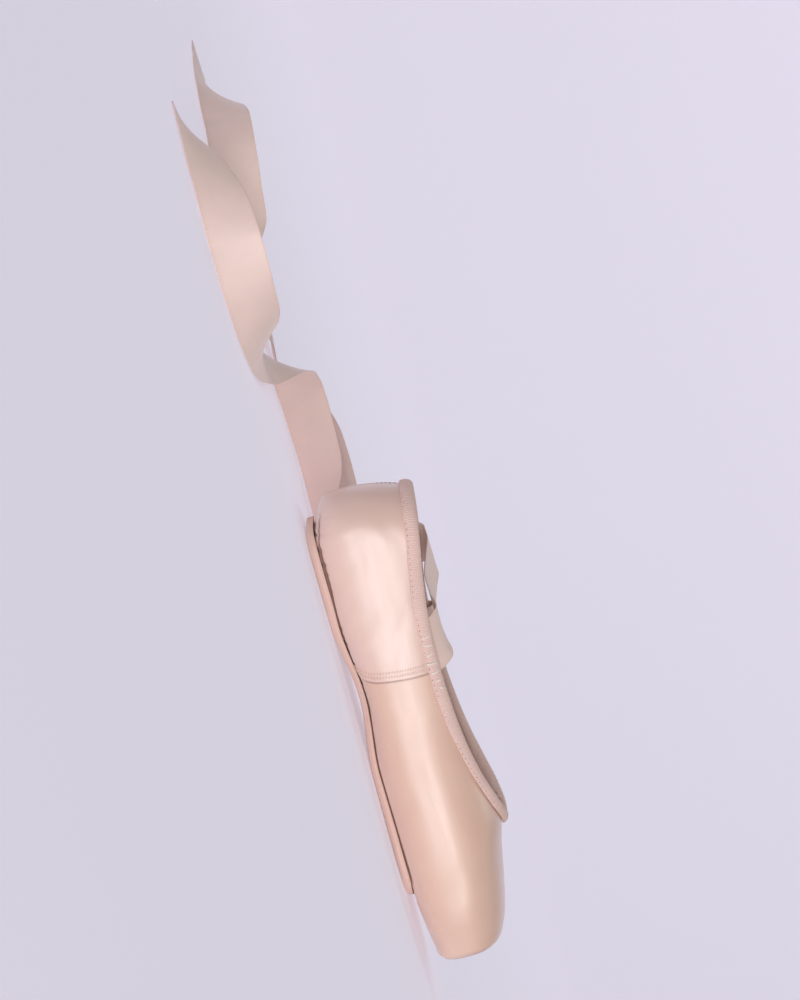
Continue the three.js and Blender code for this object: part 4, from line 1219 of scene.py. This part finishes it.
class SHOE_OT_binding(Maker, bpy.types.Operator):
    """Ribbed tape folded over the topline, fuller and gathered near the throat"""
    bl_idname = "shoe.binding"
    bl_label = "Binding"

    def make(self, sizes, colours, stage):
        places, run = topline_places(0.62)
        here, turn, down = topline_frames(places)
        full, wall = binding_fullness(places), wall_at(np.abs(places))
        thick, bead, crest = BINDING["thick"] * full, BINDING["bead"] * full, BINDING["crest"]
        near, far = np.full_like(wall, GAP), tape_inside(wall)
        leg = TAPE_LEG + 0.12 * np.sin(run / 9.0) + 0.08 * np.sin(run / 3.1)
        # The tape's section: how far below the topline and how far off the last, from the outer edge round.
        outline = [
            (leg, near + 0.05), (leg + 0.02, near + thick * 0.55), (leg * 0.93, near + thick * 0.85),
            (leg * 0.7, near + bead * 0.86), (leg * 0.45, near + bead), (leg * 0.2, near + bead * 0.96),
            (0, near + thick * 1.2), (-0.7 * crest, near + thick * 0.35), (-crest * full**0.6, -wall / 2),
            (-0.7 * crest, far - thick * 0.35), (0, far - thick * 1.2), (leg * 0.25, far - thick * 1.25),
            (leg * 0.55, far - thick * 1.15), (leg * 0.85, far - thick * 0.85), (leg, far - thick * 0.5),
            (leg, far - 0.03),
        ]
        controls = [paired(d, o) for d, o in outline]
        t = np.linspace(0, 1, TAPE_STEPS)
        profile = np.stack([catmull(np.stack([c[i] for c in controls]), t) for i in range(len(places))])
        hollow = ((leg * 0.5, far), (-GAP, far), (-GAP, near), (leg * 0.5, near))
        inner = np.stack([paired(d, o) for d, o in hollow], 1)
        # Gathers run across the tape: faint all round, deep on one side of the throat.
        deep = smooth(THROAT - 26, THROAT - 6, np.abs(places)) * np.where(places < 0, 1.0, 0.55)
        gather = (0.05 + 0.2 * deep) * np.sin(run * 2.55 + 1.6 * np.sin(run / 5.7))
        gather += 0.05 * np.sin(run / 2.3)
        gather += 0.10 * np.sin(run / 1.7 + np.sin(run / 6.1)) * hump(np.abs(places) - 82, 13)
        swell = np.sin(np.pi * np.clip(t * 2.0, 0, 1)) + np.sin(np.pi * np.clip(t * 2 - 1, 0, 1)) * 0.6
        profile[..., 1] += gather[:, None] * (swell * np.where(t < 0.5, 1.0, -1.0))[None]
        around = np.concatenate([profile, inner], 1)
        rings = [binding_offset(here, turn, down, around[:, j, 0], around[:, j, 1])[0]
                 for j in range(around.shape[1])]
        grid = np.stack([*rings, rings[0]], 1)
        grid[-1] = grid[0]
        uv = paired(run[:, None], np.r_[15 * t, np.linspace(15, 30, 5)][None])
        fold = np.broadcast_to(np.r_[0.62 * hump(15 * t - 0.2, 0.5), np.zeros(5)], grid.shape[:2])
        piece = shaped_grid("binding_tape", grid[:, ::-1], uv[:, ::-1], {"fold": fold[:, ::-1]})
        finish_piece(piece, binding_finish(colours), ["topline_binding"])


class SHOE_OT_binding_stitches(Maker, bpy.types.Operator):
    """Row of small stitches along the binding's edge, outside and inside"""
    bl_idname = "shoe.binding_stitches"
    bl_label = "Binding stitches"

    def make(self, sizes, colours, stage):
        thick = sizes.binding_thread / MM
        places, _ = topline_places(sizes.binding_pitch / MM)
        here, turn, down = topline_frames(places)
        tape, wall = BINDING["thick"] * binding_fullness(places), wall_at(np.abs(places))
        for name, colour, off, out in (
                ("binding_stitches", colours.dark_thread, GAP + tape * 0.86, 1),
                ("binding_stitches_inside", colours.thread, tape_inside(wall) - tape * 0.94, -1)):
            point, normal = binding_offset(here, turn, down, TAPE_LEG * 0.86, off)
            marks = []
            for i in range(1, len(places) - 1):
                ahead = unit(point[i + 1] - point[i - 1]) * 0.62 - down[i] * 0.10 * math.sin(i * 2.7)
                marks.append(stitch_place(point[i] - ahead, point[i] + ahead, out * normal[i], thick))
            piece = copies(name, thread_stitch(), marks)
            finish_piece(piece, thread_finish(name + "_thread", colour))


def satin_place(from_heel, height, side):
    """A point of the last and its normal, at a height in millimetres above the sole's edge."""
    low, high = float(sole_edge_turn(from_heel)), float(topline_turn(from_heel))
    turns, done = spread_turns(side * from_heel, low, high, 120)
    turn = np.interp(height, done, turns)
    point, _, _, _, normal = surface_at(np.array(side * from_heel), np.array(turn))
    return point, normal, done[-1]


class SHOE_OT_seam_stitches(Maker, bpy.types.Operator):
    """Two rows of fine slanted stitches behind each side seam, closer together near the binding"""
    bl_idname = "shoe.seam_stitches"
    bl_label = "Seam stitches"

    def make(self, sizes, colours, stage):
        thick = sizes.seam_thread / MM
        marks = []
        for side in (-1, 1):
            total = satin_place(SEAM_AT, 0, side)[2]
            height = 1.5
            while height < total - 6.6:
                share = height / total
                for row, (gap, slant) in enumerate(((1.9, 0.55), (3.7, -0.55))):
                    at = seam_line(share) - gap
                    h = height + 0.4 * row
                    a, n, _ = satin_place(at - 0.65, h - slant * 0.75, side)
                    b, _, _ = satin_place(at + 0.65, h + slant * 0.75, side)
                    stand = 0.34 * math.exp(-gap / 9.0) + 0.05
                    marks.append(stitch_place(a + n * stand, b + n * stand, n, thick))
                height += 1.55 - 0.55 * share
        piece = copies("side_seam_stitches", thread_stitch(), marks)
        finish_piece(piece, thread_finish("seam_thread", colours.thread))
        # The back seam is caught with a few crossing stitches near its top.
        marks = []
        for k in range(9):
            z = 37.5 + k * 0.95
            a = self.at_height(0.9, z, -1)
            b = self.at_height(0.9, z + (0.7 if k % 2 else -0.7), 1)
            marks.append(stitch_place(a + (-0.15, 0, 0), b + (-0.15, 0, 0), (-1, 0, 0.2), 0.3))
        piece = copies("back_seam_stitches", thread_stitch(), marks)
        finish_piece(piece, thread_finish("back_thread", colours.seam_shadow))

    def at_height(self, y, z, side):
        """The point of the heel at a height and a distance beside the back seam."""
        line = last_point(side * max(heel_place(y), 1e-6), np.linspace(0.3, 3.0, 400))
        return line[np.argmin(np.abs(line[:, 2] - z))]


class SHOE_OT_tacks(Maker, bpy.types.Operator):
    """Bars of thread across the binding where each ribbon is sewn in"""
    bl_idname = "shoe.tacks"
    bl_label = "Ribbon tacks"

    def make(self, sizes, colours, stage):
        thick = sizes.tack_thread / MM
        marks = []
        for side in (-1, 1):
            for at, lean, long in TACKS:
                places = np.array([side * (at - lean), side * (at + lean)])
                here, turn, down = topline_frames(places, ring=False)
                bead = BINDING["bead"] * binding_fullness(places)
                a, normal = binding_offset(here, turn, down, 0.3, GAP + bead * 0.92)
                b, _ = binding_offset(here, turn, down, TAPE_LEG * long, GAP + bead * 0.72)
                marks.append(stitch_place(a[0], b[1], normal[0], thick))
        cotton = thread_finish("tack_thread", colours.tack)
        finish_piece(copies("ribbon_tacks", thread_stitch(9, 8), marks), cotton)
        # Inside, each ribbon's end is held by a box of small stitches.
        box = [(up, x, False) for up in (1.4, 10.6) for x in np.arange(-8.4, 8.5, 2.1)]
        box += [(up, x, True) for up in np.arange(2.6, 10, 2.1) for x in (-9.4, 9.4)]
        marks = []
        for route in (LEFT_RIBBON, RIGHT_RIBBON):
            centre, tangent, across, face = ribbon_frames(route, RIBBON_ROWS)
            run = run_along(centre)
            inward = -np.sign(route[0, 1] * face[0, 1])
            for up, x, upright in box:
                k = int(np.searchsorted(run, up))
                way = tangent[k] if upright else across[k]
                middle = centre[k] + across[k] * x + face[k] * inward * (sizes.ribbon / MM / 2 + 0.02)
                marks.append(stitch_place(middle - way * 0.75, middle + way * 0.75, face[k] * inward, 0.36))
        finish_piece(copies("ribbon_seams", thread_stitch(), marks), cotton)


class SHOE_OT_knot(Maker, bpy.types.Operator):
    """Drawstring knotted behind the throat, with its two cut ends"""
    bl_idname = "shoe.knot"
    bl_label = "Drawstring knot"

    def make(self, sizes, colours, stage):
        middle = last_point(THROAT, math.pi) + np.array([-3.9, 0, 0.4])
        t = np.linspace(0, 2 * np.pi, 49)[:-1]
        # A three-lobed knot.
        long, wide = np.sin(t) + 1.6 * np.sin(2 * t), np.cos(t) - 1.6 * np.cos(2 * t)
        lines = [(np.stack([long, wide, -np.sin(3 * t)], -1) * 0.52 + middle, True)]
        for side in (-1, 1):
            ends = np.array([(0, 0, 0), (-1.3, side * 0.9, 0.7), (-2.6, side * 2.0, 0.9),
                             (-4.1, side * 3.0, 0.2), (-5.3, side * 3.6, -0.6)])
            lines.append((catmull(ends + middle, np.linspace(0, 1, 25)), False))
        made = []
        for line, closed in lines:
            curve = bpy.data.curves.new("drawstring", "CURVE")
            curve.dimensions, curve.bevel_depth = "3D", sizes.drawstring / 2
            curve.bevel_resolution, curve.use_fill_caps = 4, True
            spline = curve.splines.new("POLY")
            spline.points.add(len(line) - 1)
            for point, co in zip(spline.points, line * MM):
                point.co = (*co, 1)
            spline.use_cyclic_u = closed
            obj = bpy.data.objects.new("drawstring", curve)
            bpy.context.scene.collection.objects.link(obj)
            made.append(obj)
        bpy.ops.object.select_all(action="DESELECT")
        for obj in made:
            obj.select_set(True)
        bpy.context.view_layer.objects.active = made[0]
        bpy.ops.object.convert(target="MESH")
        bpy.ops.object.join()
        knot = bpy.context.object
        knot.name = knot.data.name = "drawstring_end"
        bpy.ops.object.shade_smooth()
        cotton = thread_finish("drawstring_cotton", colours.binding)
        finish_piece(knot, cotton, ["drawstring_knot"])


class SHOE_OT_stage(Maker, bpy.types.Operator):
    """Paper sweep, soft lights and the light from all round"""
    bl_idname = "shoe.stage"
    bl_label = "Stage"

    def make(self, sizes, colours, stage):
        bpy.ops.object.select_all(action="DESELECT")
        bpy.ops.mesh.primitive_plane_add(size=1)
        paper = bpy.context.object
        paper.name = "paper_sweep"
        half, back = PAPER["half"], PAPER["bend_from"]
        corners = [(x, y, -PAPER["below"]) for y in (-half, back) for x in (-half, half)]
        for v, corner in zip(paper.data.vertices, corners):
            v.co = corner
        # The back edge is drawn up in an arc and then straight into a wall.
        bpy.ops.object.mode_set(mode="EDIT")
        bpy.ops.mesh.select_mode(type="EDGE")
        bpy.ops.mesh.select_all(action="DESELECT")
        bpy.ops.object.mode_set(mode="OBJECT")
        for v in paper.data.vertices:
            v.select = v.co.y > 0
        for edge in paper.data.edges:
            edge.select = all(paper.data.vertices[i].select for i in edge.vertices)
        turns = np.linspace(0, math.pi / 2, PAPER["steps"] + 1)
        bend = PAPER["radius"] * np.stack([np.sin(turns), 1 - np.cos(turns)], -1)
        bpy.ops.object.mode_set(mode="EDIT")
        for dy, dz in [*np.diff(bend, axis=0), (0, PAPER["wall"])]:
            bpy.ops.mesh.extrude_region_move(TRANSFORM_OT_translate={"value": (0, dy, dz)})
        bpy.ops.object.mode_set(mode="OBJECT")
        bpy.ops.object.shade_smooth()
        paper.data.materials.append(paper_finish(stage.paper, stage.glow))
        for name, place, aim, size, power, colour in LIGHTS:
            bpy.ops.object.select_all(action="DESELECT")
            bpy.ops.object.light_add(type="AREA", location=place)
            light = bpy.context.object
            light.name = name
            light.data.shape, light.data.size, light.data.size_y = "RECTANGLE", *size
            light.data.energy, light.data.color = getattr(stage, power), colour
            light.rotation_euler = (Vector(aim) - Vector(place)).to_track_quat("-Z", "Z").to_euler()
            light.visible_camera = False
        world = bpy.data.worlds.new("soft_light")
        world.use_nodes = True
        sky = world.node_tree.nodes["Background"]
        sky.inputs["Color"].default_value = (*stage.sky, 1)
        sky.inputs["Strength"].default_value = stage.sky_strength
        bpy.context.scene.world = world
        bpy.context.scene.view_settings.view_transform = "Standard"


class SHOE_PT_panel(bpy.types.Panel):
    """The pieces of the shoe"""
    bl_idname = "SHOE_PT_panel"
    bl_label = "Pointe Shoe"
    bl_space_type = "VIEW_3D"
    bl_region_type = "UI"
    bl_category = "Pointe Shoe"

    def draw(self, context):
        for maker in MAKERS:
            self.layout.operator(maker.bl_idname)
        for settings in (context.scene.shoe_sizes, context.scene.shoe_colours, context.scene.shoe_stage):
            box = self.layout.box()
            for key in settings.__annotations__:
                box.prop(settings, key)


MAKERS = (SHOE_OT_camera, SHOE_OT_ribbons, SHOE_OT_upper, SHOE_OT_lining, SHOE_OT_outsole, SHOE_OT_insole,
          SHOE_OT_binding, SHOE_OT_binding_stitches, SHOE_OT_seam_stitches, SHOE_OT_tacks, SHOE_OT_knot,
          SHOE_OT_stage)
CLASSES = (ShoeSizes, ShoeColours, StageSettings, *MAKERS, SHOE_PT_panel)


def register():
    for cls in CLASSES:
        bpy.utils.register_class(cls)
    bpy.types.Scene.shoe_sizes = PointerProperty(type=ShoeSizes)
    bpy.types.Scene.shoe_colours = PointerProperty(type=ShoeColours)
    bpy.types.Scene.shoe_stage = PointerProperty(type=StageSettings)


def unregister():
    del bpy.types.Scene.shoe_stage
    del bpy.types.Scene.shoe_colours
    del bpy.types.Scene.shoe_sizes
    for cls in reversed(CLASSES):
        bpy.utils.unregister_class(cls)


def main():
    register()
    for maker in MAKERS:
        space, name = maker.bl_idname.split(".")
        getattr(getattr(bpy.ops, space), name)()
    bpy.context.view_layer.update()


if __name__ == "__main__":
    main()
